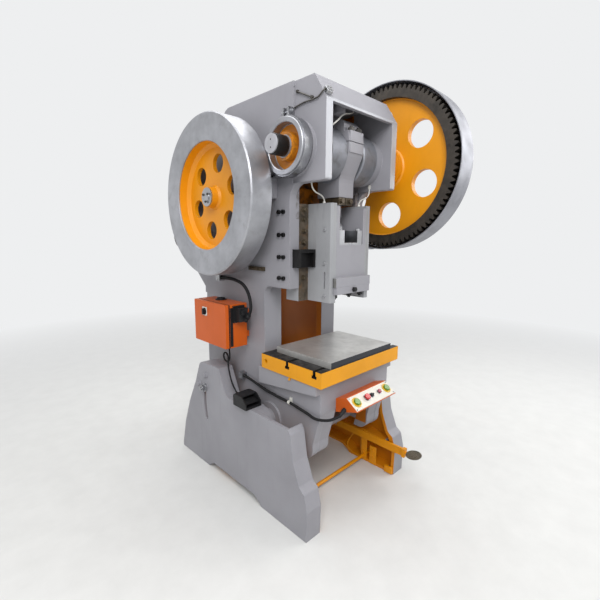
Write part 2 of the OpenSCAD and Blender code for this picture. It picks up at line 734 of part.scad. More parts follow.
// Bolts that clamp the frame in the legs' slots, with their washers and nuts
module tilt_bolts() at_origin() color([0.55, 0.57, 0.6]) {
    both_sides() translate([0, tilt_bolt_y, tilt_bolt_z]) rotate([0, -90, 0]) {
        translate([0, 0, half_body]) cylinder(h = leg_in_x - half_body - 1, r = 34);
        translate([0, 0, half_body]) cylinder(h = leg_out_x - half_body + 44, d = tilt_bolt_d);
        translate([0, 0, leg_out_x + slide_gap]) cylinder(h = 8, d = 64);
        translate([0, 0, leg_out_x + slide_gap + 8]) hex_head(46, 24);
    }
}

// Turned piece along the press's width: points are [radius, distance from x = 0]
module turned(pts, y = 0, z = crank_z) translate([0, y, z]) rotate([0, 90, 0]) rotate_extrude() polygon(pts);

// Crankshaft: two journals, two round webs, the pin, and the seats for drum and gear
module crankshaft() at_origin() color([0.62, 0.64, 0.67]) {
    turned([[0, -web_in_x - 1], [0, -crank_end_x + 8], [crank_end_r - 3, -crank_end_x + 8],
        [crank_end_r, -crank_end_x + 11], [crank_end_r, -drum_in_x + 2], [journal_d / 2, -drum_in_x + 2],
        [journal_d / 2, -web_out_x], [web_r, -web_out_x], [web_r, -web_in_x - 8],
        [web_r - 8, -web_in_x], [0, -web_in_x]]);
    turned([[0, web_in_x], [web_r - 8, web_in_x], [web_r, web_in_x + 8], [web_r, web_out_x],
        [journal_d / 2, web_out_x], [journal_d / 2, gear_seat_x], [gear_seat_r, gear_seat_x],
        [gear_seat_r, gear_end_x + slide_gap], [gear_seat_r + 22, gear_end_x + slide_gap],
        [gear_seat_r + 22, gear_end_x + 16], [gear_seat_r - 8, gear_end_x + 16],
        [gear_seat_r - 8, gear_end_x + 30], [0, gear_end_x + 30]]);
    shaft_x(-web_in_x - 2, 2 * web_in_x + 4, pin_d / 2, 0, crank_z + throw);
}

// Brake drum on the crankshaft's left end, open towards the outside
module brake_drum() at_origin() color([0.7, 0.72, 0.74]) {
    turned([[crank_end_r, -drum_in_x - 1], [drum_d / 2 - 4, -drum_in_x - 1], [drum_d / 2, -drum_in_x - 5],
        [drum_d / 2, -drum_out_x + 3], [drum_d / 2 - 3, -drum_out_x], [drum_d / 2 - 25, -drum_out_x],
        [drum_d / 2 - 29, -drum_out_x + 4], [drum_d / 2 - 29, -drum_in_x - 24],
        [crank_end_r + 24, -drum_in_x - 24], [crank_end_r + 20, -drum_out_x + 8],
        [crank_end_r, -drum_out_x + 8]]);
}

// Cap on the end of the crankshaft, with two small holes
module drum_key_cap() at_origin() color([0.8, 0.81, 0.82]) {
    difference() {
        shaft_x(-crank_end_x, 8, crank_end_r - 5);
        for (side = [-1, 1]) shaft_x(-crank_end_x - 1, 6, 4, 0, crank_z + 20 * side);
    }
}

// Brake band round the inner part of the drum, with its two ears and the clamping bolt
module brake_band() at_origin() color([0.72, 0.74, 0.77]) {
    difference() {
        turned([[band_in_r, -band_in_x], [band_in_r + 6, -band_in_x], [band_in_r + 6, -band_out_x],
            [band_in_r, -band_out_x]]);
        translate([0, 0, crank_z]) block(-band_out_x - 1, -band_in_x + 1, -14, 14, 0, band_in_r + 40);
    }
    for (y = [-26, 14])
        block(-band_out_x + 4, -band_in_x - 4, y, y + 12, crank_z + band_in_r + 3.5, crank_z + band_in_r + 50);
    translate([-(band_in_x + band_out_x) / 2, -42, crank_z + band_in_r + 30]) rotate([-90, 0, 0]) {
        cylinder(h = 96, r = 7);
        translate([0, 0, 6]) hex_head(22, 10);
        translate([0, 0, 68]) hex_head(22, 12);
    }
    block(-band_out_x + 6, -band_in_x - 6, band_tab_y, anchor_front, crank_z - 150, crank_z - 130);
}

// Bracket on the side of the casting that holds the band against turning
module brake_anchor() at_origin() color([0.68, 0.7, 0.73]) {
    across(-band_out_x, band_out_x - half_body) polygon(round_outline([
        [anchor_front, crank_z - 262, 10], [anchor_front, crank_z - 123, 10],
        [anchor_front + 20, crank_z - 123, 4], [anchor_front + 35, crank_z - 150, 10],
        [anchor_front + 35, crank_z - 262, 10]]));
}

// One tooth's flank: radius and half angle of the tooth, from root to tip
function involute_angle(r, base_r) = r <= base_r ? 0
    : sqrt(r * r / (base_r * base_r) - 1) * 180 / PI - acos(base_r / r);
function flank_half(r, pitch_r, teeth) =
    let (base_r = pitch_r * cos(gear_pressure))
    90 / teeth - flank_play / pitch_r * 180 / PI / 2
        + involute_angle(pitch_r, base_r) - involute_angle(r, base_r);
function gear_outline(teeth, pitch_r, root_r, tip_r, cuts, phase) =
    [for (i = [0 : teeth - 1])
        let (mid = 360 * i / teeth + phase,
            base_r = pitch_r * cos(gear_pressure),
            low_r = max(root_r, base_r))
        each concat(
            low_r > root_r ? [[root_r, mid - flank_half(low_r, pitch_r, teeth)]] : [],
            [for (k = [0 : cuts]) let (r = low_r + (tip_r - low_r) * k / cuts)
                [r, mid - flank_half(r, pitch_r, teeth)]],
            [for (k = [cuts : -1 : 0]) let (r = low_r + (tip_r - low_r) * k / cuts)
                [r, mid + flank_half(r, pitch_r, teeth)]],
            low_r > root_r ? [[root_r, mid + flank_half(low_r, pitch_r, teeth)]] : [])];
module toothed_disc(teeth, pitch_r, root_r, tip_r, cuts, phase, h) {
    linear_extrude(h) polygon([for (p = gear_outline(teeth, pitch_r, root_r, tip_r, cuts, phase))
        [p[0] * cos(p[1]), p[0] * sin(p[1])]]);
}

// Large gear: toothed rim, thinner web with six round openings, and a long hub
module large_gear() at_origin() color([0.9, 0.6, 0.12]) {
    difference() {
        union() {
            translate([gear_x, 0, crank_z]) rotate([90, 0, 90])
                toothed_disc(gear_teeth, gear_pitch_r, gear_root_r, gear_tip_r, 3, mesh_angle, gear_face);
            shaft_x(gear_hub_x, gear_end_x - gear_hub_x, gear_hub_r);
        }
        turned([[gear_hub_r + 12, gear_x - 1], [gear_rim_r, gear_x - 1], [gear_rim_r, gear_x + 32],
            [gear_rim_r - 10, gear_x + 38], [gear_hub_r + 22, gear_x + 38], [gear_hub_r + 12, gear_x + 30]]);
        turned([[gear_hub_r + 12, gear_x + gear_face + 1], [gear_rim_r, gear_x + gear_face + 1],
            [gear_rim_r, gear_x + gear_face - 32], [gear_rim_r - 10, gear_x + gear_face - 38],
            [gear_hub_r + 22, gear_x + gear_face - 38], [gear_hub_r + 12, gear_x + gear_face - 30]]);
        for (i = [0 : 5])
            shaft_x(gear_x, gear_face, 92, 330 * cos(60 * i + 22), crank_z + 330 * sin(60 * i + 22));
        shaft_x(gear_hub_x - 1, gear_end_x - gear_hub_x + 2, gear_seat_r + run_gap);
    }
}

// Sleeve of the clutch on the crankshaft, with its two notches
module clutch_sleeve() at_origin() color([0.35, 0.36, 0.38]) {
    difference() {
        shaft_x(gear_seat_x + 2, gear_hub_x - gear_seat_x - 3, gear_seat_r + 42);
        shaft_x(gear_seat_x, gear_hub_x - gear_seat_x, gear_seat_r);
        for (side = [-1, 1])
            translate([gear_seat_x, side * (gear_seat_r + 34), crank_z]) rotate([0, 90, 0])
                cylinder(h = gear_hub_x - gear_seat_x, r = 16);
    }
}

// Guard round the gear and pinion: a rim and a narrow outer face, open in the middle
module guard_shape(inset) {
    shaft_x(guard_x - 1, guard_w - guard_t + 1, guard_r - inset);
    shaft_x(guard_x - 1, guard_w - guard_t + 1, pinion_guard_r - inset, pinion_y, pinion_z);
}

module gear_guard() at_origin() color([0.68, 0.7, 0.73]) {
    difference() {
        union() {
            shaft_x(guard_x, guard_w, guard_r);
            shaft_x(guard_x, guard_w, pinion_guard_r, pinion_y, pinion_z);
        }
        guard_shape(guard_t);
        shaft_x(guard_x, guard_w + 1, guard_r - 118);
    }
}

// Bars that carry the guard from the side of the casting
module guard_brackets() at_origin() color([0.68, 0.7, 0.73]) {
    for (w = [-78, -50, 30])
        translate([half_body, 0, crank_z]) rotate([w, 0, 0]) {
            translate([0, guard_r, -25]) cube([guard_x + 70 - half_body, 12, 50]);
            translate([0, guard_r - 60, -45]) cube([12, 60, 90]);
            for (side = [-1, 1])
                translate([12, guard_r - 30, 26 * side]) rotate([0, 90, 0]) hex_head(19, 10);
        }
}

// Flywheel: heavy rim, deep recess, web with six round openings, and the belt ring behind
module flywheel() at_origin() color([0.78, 0.79, 0.8]) {
    difference() {
        turned(concat([[shaft_d / 2, -fly_hub_x], [shaft_d / 2 + 8, -fly_hub_x], [shaft_d / 2 + 12, -fly_web_x - 14],
            [shaft_d / 2 + 24, -fly_web_x], [recess_d / 2 - 26, -fly_web_x],
            [recess_d / 2 - 4, -fly_web_x - 22], [recess_d / 2, -fly_out_x + 4],
            [recess_d / 2 + 4, -fly_out_x], [flywheel_d / 2 - 8, -fly_out_x],
            [flywheel_d / 2, -fly_out_x + 8], [flywheel_d / 2, -fly_in_x - 6],
            [flywheel_d / 2 - 6, -fly_in_x], [belt_ring_d / 2 + 14, -fly_in_x]],
            belt_profile(belt_ring_d / 2),
            [[belt_ring_d / 2 - 34, -belt_ring_x], [belt_ring_d / 2 - 34, -fly_web_x + 28],
            [shaft_d / 2 + 26, -fly_web_x + 28], [shaft_d / 2 + 14, -fly_in_x + 30],
            [shaft_d / 2, -fly_in_x + 30]]), pinion_y, pinion_z);
        for (i = [0 : 5])
            shaft_x(-fly_web_x - 30, 90, 59, pinion_y + 214 * cos(60 * i - 17), pinion_z + 214 * sin(60 * i - 17));
    }
}

// Grooves of a belt ring, from its outer to its inner end
function belt_profile(r) = concat([[r, -fly_in_x + 3]],
    [for (i = [0 : belt_count - 1])
        let (x = -belt_mid_x + belt_pitch * (i - (belt_count - 1) / 2))
        each [[r, x - 8.5], [r - 15, x - 5], [r - 15, x + 5], [r, x + 8.5]]],
    [[r, -belt_ring_x]]);

module pinion_shaft() at_origin() color([0.75, 0.76, 0.78]) {
    turned([[0, -fly_hub_x - 14], [30, -fly_hub_x - 14], [30, -fly_hub_x - 8], [shaft_d / 2 + 4, -fly_hub_x - 8],
        [shaft_d / 2 + 4, -fly_hub_x], [shaft_d / 2, -fly_hub_x], [shaft_d / 2, gear_x + gear_face + 4],
        [shaft_d / 2 - 12, gear_x + gear_face + 4], [shaft_d / 2 - 12, gear_x + gear_face + 20],
        [0, gear_x + gear_face + 20]], pinion_y, pinion_z);
}

// Pinion that drives the large gear
module pinion() at_origin() color([0.55, 0.57, 0.6]) {
    difference() {
        translate([gear_x, pinion_y, pinion_z]) rotate([90, 0, 90])
            toothed_disc(pinion_teeth, pinion_pitch_r, pinion_root_r, pinion_tip_r - 1, 6,
                mesh_angle + 180 + 180 / pinion_teeth, gear_face);
        shaft_x(gear_x - 1, gear_face + 2, shaft_d / 2, pinion_y, pinion_z);
    }
}

// Motor on its bracket behind the casting
module motor() at_origin() color([0.68, 0.7, 0.73]) {
    difference() {
        turned(concat([[24, motor_x0], [70, motor_x0], [76, motor_x0 + 10], [motor_r - 6, motor_x0 + 14],
            [motor_r, motor_x0 + 20], [motor_r, motor_x0 + 38], [motor_r - 12, motor_x0 + 38]],
            [for (i = [0 : 9]) let (x = motor_x0 + 50 + 20 * i)
                each [[motor_r - 12, x], [motor_r - 2, x], [motor_r - 2, x + 6], [motor_r - 12, x + 6]]],
            [[motor_r - 12, motor_x0 + 252], [motor_r, motor_x0 + 252], [motor_r, motor_x0 + motor_len - 14],
            [motor_r - 14, motor_x0 + motor_len], [0, motor_x0 + motor_len], [0, motor_x0 + 60],
            [24, motor_x0 + 60]]), motor_y, motor_z);
    }
    block(motor_x0 + 40, motor_x0 + 240, motor_y - 105, motor_y + 105, motor_z - motor_r - 20,
        motor_z - motor_r + 4);
    for (y = [motor_y - 84, motor_y + 64])
        block(motor_x0 + 44, motor_x0 + 236, y, y + 20, motor_z - motor_r, motor_z - 60);
    block(motor_x0 + 90, motor_x0 + 190, motor_y - 60, motor_y + 60, motor_z + motor_r - 16,
        motor_z + motor_r + 44);
}

module motor_bracket() at_origin() color([0.68, 0.7, 0.73]) {
    floor_z = motor_z - motor_r - 20;
    block(motor_x0 + 4, motor_x0 + motor_len - 54, body_back, body_back + 22, floor_z - 300, floor_z);
    block(motor_x0 + 4, motor_x0 + motor_len - 54, body_back + 22, motor_y + 118, floor_z - 22, floor_z);
    for (x = [motor_x0 + 20, motor_x0 + motor_len - 88])
        across(x, 18) polygon([[body_back + 22, floor_z - 22], [motor_y + 100, floor_z - 22],
            [body_back + 22, floor_z - 280]]);
    for (x = [motor_x0 + 70, motor_x0 + 210])
        for (z = [floor_z - 270, floor_z - 200, floor_z - 110])
            translate([x, body_back + 22, z]) rotate([-90, 0, 0]) hex_head(24, 12);
}

// Pulley on the motor's shaft
module motor_pulley() at_origin() color([0.5, 0.52, 0.55]) {
    turned(concat([[0, -fly_in_x - 2], [40, -fly_in_x - 2], [pulley_d / 2 - 4, -fly_in_x - 2],
        [pulley_d / 2, -fly_in_x]], belt_profile(pulley_d / 2),
        [[pulley_d / 2 - 28, -belt_ring_x], [40, -belt_ring_x + 4], [24 - run_gap, -belt_ring_x + 4],
        [24 - run_gap, motor_x0 + 56], [0, motor_x0 + 56]]), motor_y, motor_z);
}

// V belts: a loop round the belt ring and the pulley
function belt_loop(r_a, r_b) =
    let (dy = motor_y - pinion_y,
        dz = motor_z - pinion_z,
        far = norm([dy, dz]),
        lean = atan2(dz, dy),
        open_w = acos((r_a - r_b) / far),
        steps_a = 60,
        steps_b = 24)
    concat(
        [for (i = [0 : steps_a]) let (w = lean + open_w + (360 - 2 * open_w) * i / steps_a)
            [pinion_y + r_a * cos(w), pinion_z + r_a * sin(w)]],
        [for (i = [0 : steps_b]) let (w = lean - open_w + 2 * open_w * i / steps_b)
            [motor_y + r_b * cos(w), motor_z + r_b * sin(w)]]);

module drive_belts() at_origin() color([0.08, 0.08, 0.09]) {
    for (i = [0 : belt_count - 1])
        across(-belt_mid_x + belt_pitch * (i - (belt_count - 1) / 2) - 6, 12) difference() {
            polygon(belt_loop(belt_ring_d / 2 + 1, pulley_d / 2 + 1));
            polygon(belt_loop(belt_ring_d / 2 - 8, pulley_d / 2 - 8));
        }
}

// Box of the control cabinet, on two rails bolted to the casting's left side
module control_cabinet() at_origin() color([0.78, 0.32, 0.1]) {
    difference() {
        block(-cabinet_out_x, -cabinet_in_x, cabinet_y, cabinet_y + cabinet_w, cabinet_low_z,
            cabinet_low_z + cabinet_h);
        block(-cabinet_out_x - 1, -cabinet_in_x - 3, cabinet_y + 3, cabinet_y + cabinet_w - 3,
            cabinet_low_z + 3, cabinet_low_z + cabinet_h - 3);
        translate([-460, cabinet_y + 120, cabinet_low_z - 1]) cylinder(h = 6, r = foot_lead_r + 1);
    }
    for (z = [cabinet_low_z + 50, cabinet_low_z + cabinet_h - 90])
        block(-cabinet_in_x, -half_body, cabinet_y + 30, cabinet_y + cabinet_w - 30, z, z + 40);
    for (z = [cabinet_low_z + 26, cabinet_low_z + cabinet_h - 84, cabinet_low_z + 70 + slide_gap,
        cabinet_low_z + cabinet_h - 40 + slide_gap]) {
        translate([-door_hinge_x, cabinet_y + cabinet_w + 8, z]) cylinder(h = 14 - slide_gap, d = 14);
        block(-door_hinge_x, -cabinet_out_x + 20, cabinet_y + cabinet_w, cabinet_y + cabinet_w + 10,
            z, z + 14 - slide_gap);
    }
}

// Gasket frame that shows as a dark seam, and the mounting plate behind the door
module cabinet_seal() at_origin() color([0.1, 0.1, 0.1]) {
    difference() {
        block(-cabinet_out_x - door_gap + 0.5, -cabinet_out_x, cabinet_y + 1, cabinet_y + cabinet_w - 26,
            cabinet_low_z + 1, cabinet_low_z + cabinet_h - 1);
        block(-cabinet_out_x - door_gap, -cabinet_out_x + 1, cabinet_y + 22, cabinet_y + cabinet_w - 40,
            cabinet_low_z + 22, cabinet_low_z + cabinet_h - 22);
    }
    block(-cabinet_in_x - 12, -cabinet_in_x - 3, cabinet_y + 30, cabinet_y + cabinet_w - 30,
        cabinet_low_z + 30, cabinet_low_z + cabinet_h - 30);
}

// Door of the cabinet: a shallow pan that turns on its rear edge
module cabinet_door() at_origin() color([0.78, 0.32, 0.1]) {
    difference() {
        across(-door_out_x, door_t) polygon(round_outline([
            [cabinet_y, cabinet_low_z, 5], [cabinet_y, cabinet_low_z + cabinet_h, 5],
            [cabinet_y + cabinet_w, cabinet_low_z + cabinet_h, 5], [cabinet_y + cabinet_w, cabinet_low_z, 5]]));
        block(-door_out_x + 3, -door_out_x + door_t + 1, cabinet_y + 3, cabinet_y + cabinet_w - 3,
            cabinet_low_z + 3, cabinet_low_z + cabinet_h - 3);
        shaft_x(-door_out_x - 1, 5, 9.6, knob_y, knob_z);
    }
    for (z = [cabinet_low_z + 40, cabinet_low_z + cabinet_h - 70])
        translate([-door_hinge_x, cabinet_y + cabinet_w + 8, z]) {
            cylinder(h = 30, d = 14);
            translate([-4, -9, 4]) cube([8, 8, 22]);
        }
}

// Turning knob of the main switch on the door
module isolator_knob() at_origin() color([0.12, 0.12, 0.13]) {
    shaft_x(-door_out_x - 6, 5.6, 24, knob_y, knob_z);
    shaft_x(-door_out_x - 2, 12, 9, knob_y, knob_z);
    block(-door_out_x - 20, -door_out_x - 6, knob_y - 7, knob_y + 7, knob_z - 21, knob_z + 21);
}

// Turns to the slanting line on which the conduit enters its socket
module along_conduit_end()
    translate([-socket_x + 14, cabinet_y - 62, cabinet_low_z + 197.4]) rotate([45, 0, 0]) children();

// Black plug socket on the cabinet's front, and the cable entry on its top
module conduit_socket() at_origin() color([0.1, 0.1, 0.11]) {
    difference() {
        block(-socket_x - 50, -socket_x + 38, cabinet_y - 14, cabinet_y, cabinet_low_z + 172,
            cabinet_low_z + 284);
        for (z = [cabinet_low_z + 180, cabinet_low_z + 276])
            for (x = [-socket_x - 42, -socket_x + 30]) shaft_y(cabinet_y - 15, 6, 4, x, z);
    }
    difference() {
        union() {
            block(-socket_x - 40, -socket_x + 30, cabinet_y - 62, cabinet_y - 14, cabinet_low_z + 182,
                cabinet_low_z + 272);
            along_conduit_end() translate([0, 0, -14]) cylinder(h = 34, r = conduit_r + 7);
        }
        along_conduit_end() translate([0, 0, 4]) cylinder(h = 17, r = conduit_r + 2.4);
    }
    shaft_y(cabinet_y - 76, 14, 18, -socket_x - 12, cabinet_low_z + 246);
    for (z = [cabinet_low_z + 198, cabinet_low_z + 256])
        block(-socket_x + 28, -socket_x + 36, cabinet_y - 54, cabinet_y - 24, z - 8, z + 8);
    translate([-socket_x + 12, cabinet_y + 230, cabinet_low_z + cabinet_h]) {
        cylinder(h = 5, r = 40);
        translate([0, 0, 5]) difference() {
            cylinder(h = 10, r = 28);
            cylinder(h = 11, r = 20);
        }
    }
}

// Conduit from its elbow box on the casting down to the plug socket
conduit_route = smooth_route([
    [-half_body - 26, cabinet_y + 333, 1450], [-half_body - 26, cabinet_y + 303, 1450],
    [-half_body - 34, cabinet_y + 245, 1452], [-400, cabinet_y + 175, 1455],
    [-417, cabinet_y + 110, 1456], [-429, cabinet_y + 62, 1454], [-438, cabinet_y + 13, 1449],
    [-444, cabinet_y - 37, 1437], [-448, cabinet_y - 82, 1408], [-449, cabinet_y - 112, 1364],
    [-447, cabinet_y - 123, 1312], [-444, cabinet_y - 115, 1273],
    [-socket_x + 14, cabinet_y - 93.9, cabinet_low_z + 229.3],
    [-socket_x + 14, cabinet_y - 66.2, cabinet_low_z + 201.6]], 3);
module conduit() at_origin() color([0.09, 0.09, 0.1]) lead_tube(conduit_route, conduit_r, 10);

// Elbow boxes where the conduit and the panel's lead leave the casting
module elbow_box(r, y, z) {
    difference() {
        block(-half_body - r - 35, -half_body, y, y + 2 * r + 26, z - r - 13, z + r + 13);
        shaft_y(y - 1, 20, r + 1.2, -half_body - r - 15, z);
    }
    for (w = [-1, 1])
        translate([-half_body - r - 35, y + r + 20 + w * r / 2, z + w * (r + 4)]) rotate([0, -90, 0])
            cylinder(h = 3, r = 4);
}
module conduit_fitting() at_origin() color([0.6, 0.62, 0.65]) {
    elbow_box(conduit_r, cabinet_y + 319, 1450);
    elbow_box(lead_d / 2, 498, 765);
}

// Grease distributor on the casting's left side, with its nipples
module grease_fitting() at_origin() color([0.6, 0.62, 0.65]) {
    block(-half_body - 16, -half_body, throat_depth - 10, throat_depth + 150, 1526, 1552);
    for (i = [0 : 3]) {
        shaft_x(-half_body - 28, 12, 6, throat_depth + 10 + 38 * i, 1539);
        shaft_x(-half_body - 31, 3, 4, throat_depth + 10 + 38 * i, 1539);
    }
}

// Places a piece on the panel's sloped face: x along the table, y up the slope, z away from it
module on_panel() translate([0, panel_low[0], panel_low[1]]) rotate([panel_slope, 0, 0]) children();

// Turns to the line on which the lead comes out of the panel's side
module along_panel_lead() translate([-panel_half + 4, -284, 720]) rotate([0, -115.6, 0]) children();

// Two hand control panel on the front of the table
module control_panel() at_origin() color([0.78, 0.32, 0.1]) {
    difference() {
        across(-panel_half, panel_w) polygon([
            [table_front, panel_top[1] - 24], [panel_top[0], panel_top[1]],
            [panel_low[0], panel_low[1]], [table_front, panel_low[1] - 49]]);
        across(-panel_half + 3, panel_w - 6) polygon([
            [table_front - 3, panel_top[1] - 28], [panel_top[0] + 2, panel_top[1] - 5],
            [panel_low[0] + 5, panel_low[1] - 1], [table_front - 3, panel_low[1] - 44]]);
        for (x = button_x) on_panel() translate([x, button_up, -6]) cylinder(h = 12, r = 9);
        along_panel_lead() translate([0, 0, -6]) cylinder(h = 20, r = lead_d / 2 + 1.8);
    }
    difference() {
        along_panel_lead() cylinder(h = 24, r = lead_d / 2 + 6);
        along_panel_lead() translate([0, 0, -9]) cylinder(h = 35, r = lead_d / 2 + 1.8);
        block(-panel_half + 2, -panel_half + 20, -320, -250, 690, 750);
    }
}

// Face plate of the panel, with its raised yellow collars
module panel_face() at_origin() color([0.86, 0.85, 0.8]) {
    on_panel() difference() {
        union() {
            translate([-panel_half + 4, 6, 0]) cube([panel_w - 8, panel_face_d - 12, 3]);
            for (x = [button_x[0], button_x[4]]) translate([x, button_up, 3]) cylinder(h = 5, r = 32);
        }
        for (x = [button_x[0], button_x[4]]) translate([x, button_up, -1]) cylinder(h = 20, r = 9);
        for (x = [button_x[0], button_x[4]]) translate([x, button_up, 4]) cylinder(h = 20, r = 27);
        for (i = [1 : 3]) translate([button_x[i], button_up, -1]) cylinder(h = 20, r = 9);
    }
}

module push_button(x, head_r, head_h) {
    on_panel() translate([x, button_up, 0]) {
        translate([0, 0, -5]) cylinder(h = 16, r = 8);
        translate([0, 0, 10]) cylinder(h = head_h - 3, r = head_r);
        translate([0, 0, 7 + head_h]) cylinder(h = 3, r1 = head_r, r2 = head_r - 3);
    }
}

module palm_button_left() at_origin() color([0.25, 0.55, 0.2]) push_button(button_x[0], 22, 9);
module palm_button_right() at_origin() color([0.25, 0.55, 0.2]) push_button(button_x[4], 22, 9);
module stop_button() at_origin() color([0.8, 0.08, 0.06]) push_button(button_x[1], 20, 13);
module inch_button() at_origin() color([0.5, 0.05, 0.08]) push_button(button_x[3], 14, 7);

module mode_selector() at_origin() color([0.1, 0.1, 0.11]) {
    on_panel() translate([button_x[2], button_up, 0]) {
        translate([0, 0, -5]) cylinder(h = 12, r = 8);
        translate([0, 0, 3.5]) cylinder(h = 8, r = 14);
        translate([-13, -4, 11.5]) cube([26, 8, 8]);
    }
}

// Lead from the casting's side to the panel, held by one clip
panel_lead_route = smooth_route([
    [-half_body - 24, 512, 765], [-half_body - 24, 480, 765], [-half_body - 23, 400, 753],
    [-half_body - 20, 270, 729], [-half_body - 18, 150, 718], [-half_body - 18, 31, 714],
    [-half_body - 18, -120, 696], [-half_body - 23, -190, 688], [-half_body - 7, -239, 688],
    [-half_body + 27, -271, 689], [-panel_half - 72.5, -285, 695], [-panel_half - 33.5, -285, 702],
    [-panel_half + 4, -284, 720]], 3);
module panel_lead() at_origin() color([0.09, 0.09, 0.1]) lead_tube(panel_lead_route, lead_d / 2, 10);

module lead_clip() at_origin() color([0.85, 0.85, 0.83]) {
    difference() {
        union() {
            shaft_y(21, 20, lead_d / 2 + 3, -half_body - 18, 714);
            block(-half_body - 8, -half_body, 21, 41, 700, 744);
        }
        translate([-half_body - 18, 31, 714]) rotate([-85.3, 0, 0])
            cylinder(h = 30, r = lead_d / 2 + 0.8, center = true);
    }
    translate([-half_body - 8, 31, 736]) rotate([0, -90, 0]) hex_head(10, 5);
}

// Lead that hangs from the cabinet to the foot switch, with one loop
foot_lead_route = smooth_route(concat(
    [[-460, cabinet_y + 120, cabinet_low_z + 2], [-460, cabinet_y + 120, cabinet_low_z - 18],
        [-460, cabinet_y + 115, cabinet_low_z - 60]],
    [for (k = [0 : 8])
        [-461 - 13 * k / 8, cabinet_y + 145 - 33 * cos(45 * k), cabinet_low_z - 105 - 33 * sin(45 * k)]],
    [[-478, cabinet_y + 106, cabinet_low_z - 160], [-482, cabinet_y + 85, leg_low_h + 155],
        [-485, cabinet_y + 50, leg_low_h + 97],
        [switch_x + switch_w / 2, switch_y + switch_d + 57, leg_low_h + 57],
        [switch_x + switch_w / 2, switch_y + switch_d + 26, leg_low_h + 45],
        [switch_x + switch_w / 2, switch_y + switch_d + 6, leg_low_h + 44]]), 2);
module foot_switch_lead() at_origin() color([0.09, 0.09, 0.1]) lead_tube(foot_lead_route, foot_lead_r, 8);

// Side view of the connecting rod below its big end
rod_outline = round_outline([
    [-big_end_d / 2 + 1, crank_z + throw, 0], [-big_end_d / 2 + 1, crank_z + throw - 60, 90],
    [-88, rod_low_z + 110, 90], [-88, rod_low_z, 6], [88, rod_low_z, 6], [88, rod_low_z + 110, 90],
    [big_end_d / 2 - 1, crank_z + throw - 60, 90], [big_end_d / 2 - 1, crank_z + throw, 0]]);

module connecting_rod() at_origin() color([0.68, 0.7, 0.73]) {
    difference() {
        union() {
            shaft_x(-rod_w / 2, rod_w, big_end_d / 2, 0, crank_z + throw);
            across(-rod_w / 2, rod_w) polygon(rod_outline);
            for (side = [-1, 1])
                block(-rod_w / 2 + 8, rod_w / 2 - 8, side * (big_end_d / 2 - 24) - 26,
                    side * (big_end_d / 2 - 24) + 26, crank_z + throw - 60, crank_z + throw + 62);
        }
        for (side = [-1, 1])
            block(-rod_w / 2 - 1, rod_w / 2 + 1, side * (big_end_d / 2 - 8) - 32,
                side * (big_end_d / 2 - 8) + 32, crank_z + throw + 62, crank_z + throw + 120);
        shaft_x(-rod_w / 2 - 1, rod_w + 2, pin_d / 2 + run_gap, 0, crank_z + throw);
        for (side = [-1, 1])
            block(-rod_w / 2 - 1, rod_w / 2 + 1, side * 150 - 64, side * 150 + 64,
                crank_z + throw - 2, crank_z + throw + 2);
        translate([0, 0, rod_low_z - 1]) cylinder(h = 190, r = screw_r);
    }
}

// Nuts and studs that hold the cap on the big end
module rod_cap_bolts() at_origin() color([0.35, 0.36, 0.38]) {
    for (x = [-34, 34]) for (side = [-1, 1])
        translate([x, side * (big_end_d / 2 - 16), crank_z + throw + 62]) {
            hex_head(34, 20);
            cylinder(h = 30, r = 9);
        }
}

// Adjusting screw with its thread, neck and ball
module adjusting_screw() at_origin() color([0.66, 0.64, 0.6]) {
    translate([0, 0, ball_z]) sphere(d = ball_d);
    translate([0, 0, ball_z]) cylinder(h = 80, r = 34);
    rotate_extrude() polygon(concat([[0, rod_low_z + 170], [0, ball_z + 72], [34, ball_z + 72],
        [screw_r - 6, ball_z + 76]],
        [for (i = [0 : 4]) let (z = ball_z + 84 + 12 * i)
            each [[screw_r - 6, z - 5], [screw_r - 0.5, z - 1], [screw_r - 0.5, z + 1], [screw_r - 6, z + 5]]],
        [[screw_r - 6, rod_low_z - 46], [screw_r, rod_low_z - 46], [screw_r, rod_low_z + 170]]));
}

// Split clamp that locks the screw under the rod, with two bolts across its slit
module screw_clamp() at_origin() color([0.5, 0.42, 0.3]) {
    difference() {
        block(-rod_w / 2 + 6, rod_w / 2 - 6, -84, 80, rod_low_z - 44, rod_low_z);
        translate([0, 0, rod_low_z - 45]) cylinder(h = 46, r = screw_r);
        block(-3, 3, -85, -screw_r + 2, rod_low_z - 45, rod_low_z + 1);
    }
    for (x = [-40, 40])
        translate([x, -84, rod_low_z - 22]) rotate([90, 0, 0]) hex_head(26, 16);
}

// Cross section of the ram: a block with a vee groove down each side
module ram_profile() {
    polygon([
        [-ram_half, -ram_half_d], [ram_half, -ram_half_d], [ram_half, vee_y - vee_h],
        [ram_half - vee_h, vee_y], [ram_half, vee_y + vee_h], [ram_half, ram_half_d],
        [-ram_half, ram_half_d], [-ram_half, vee_y + vee_h], [-ram_half + vee_h, vee_y],
        [-ram_half, vee_y - vee_h]]);
}

// Ram: solid below, an open pocket for the screw above, and a lip at the bottom
module ram() at_origin() color([0.68, 0.7, 0.73]) {
    difference() {
        union() {
            translate([0, 0, ram_low_z]) linear_extrude(ram_h) ram_profile();
            block(-ram_half - 25, ram_half + 25, -ram_half_d - 27, -ram_half_d - 0.6, ram_low_z, ram_low_z + 57);
            block(-ram_half + 2, ram_half - 2, -ram_half_d - 1, -ram_half_d + 2, ram_low_z, ram_low_z + 57);
        }
        block(-ram_half + 30, ram_half - 30, -ram_half_d - 1, ram_half_d - 30, pocket_z, ram_top_z + 1);
        translate([0, 0, ram_low_z - 1]) cylinder(h = 96, d = shank_d);
    }
}

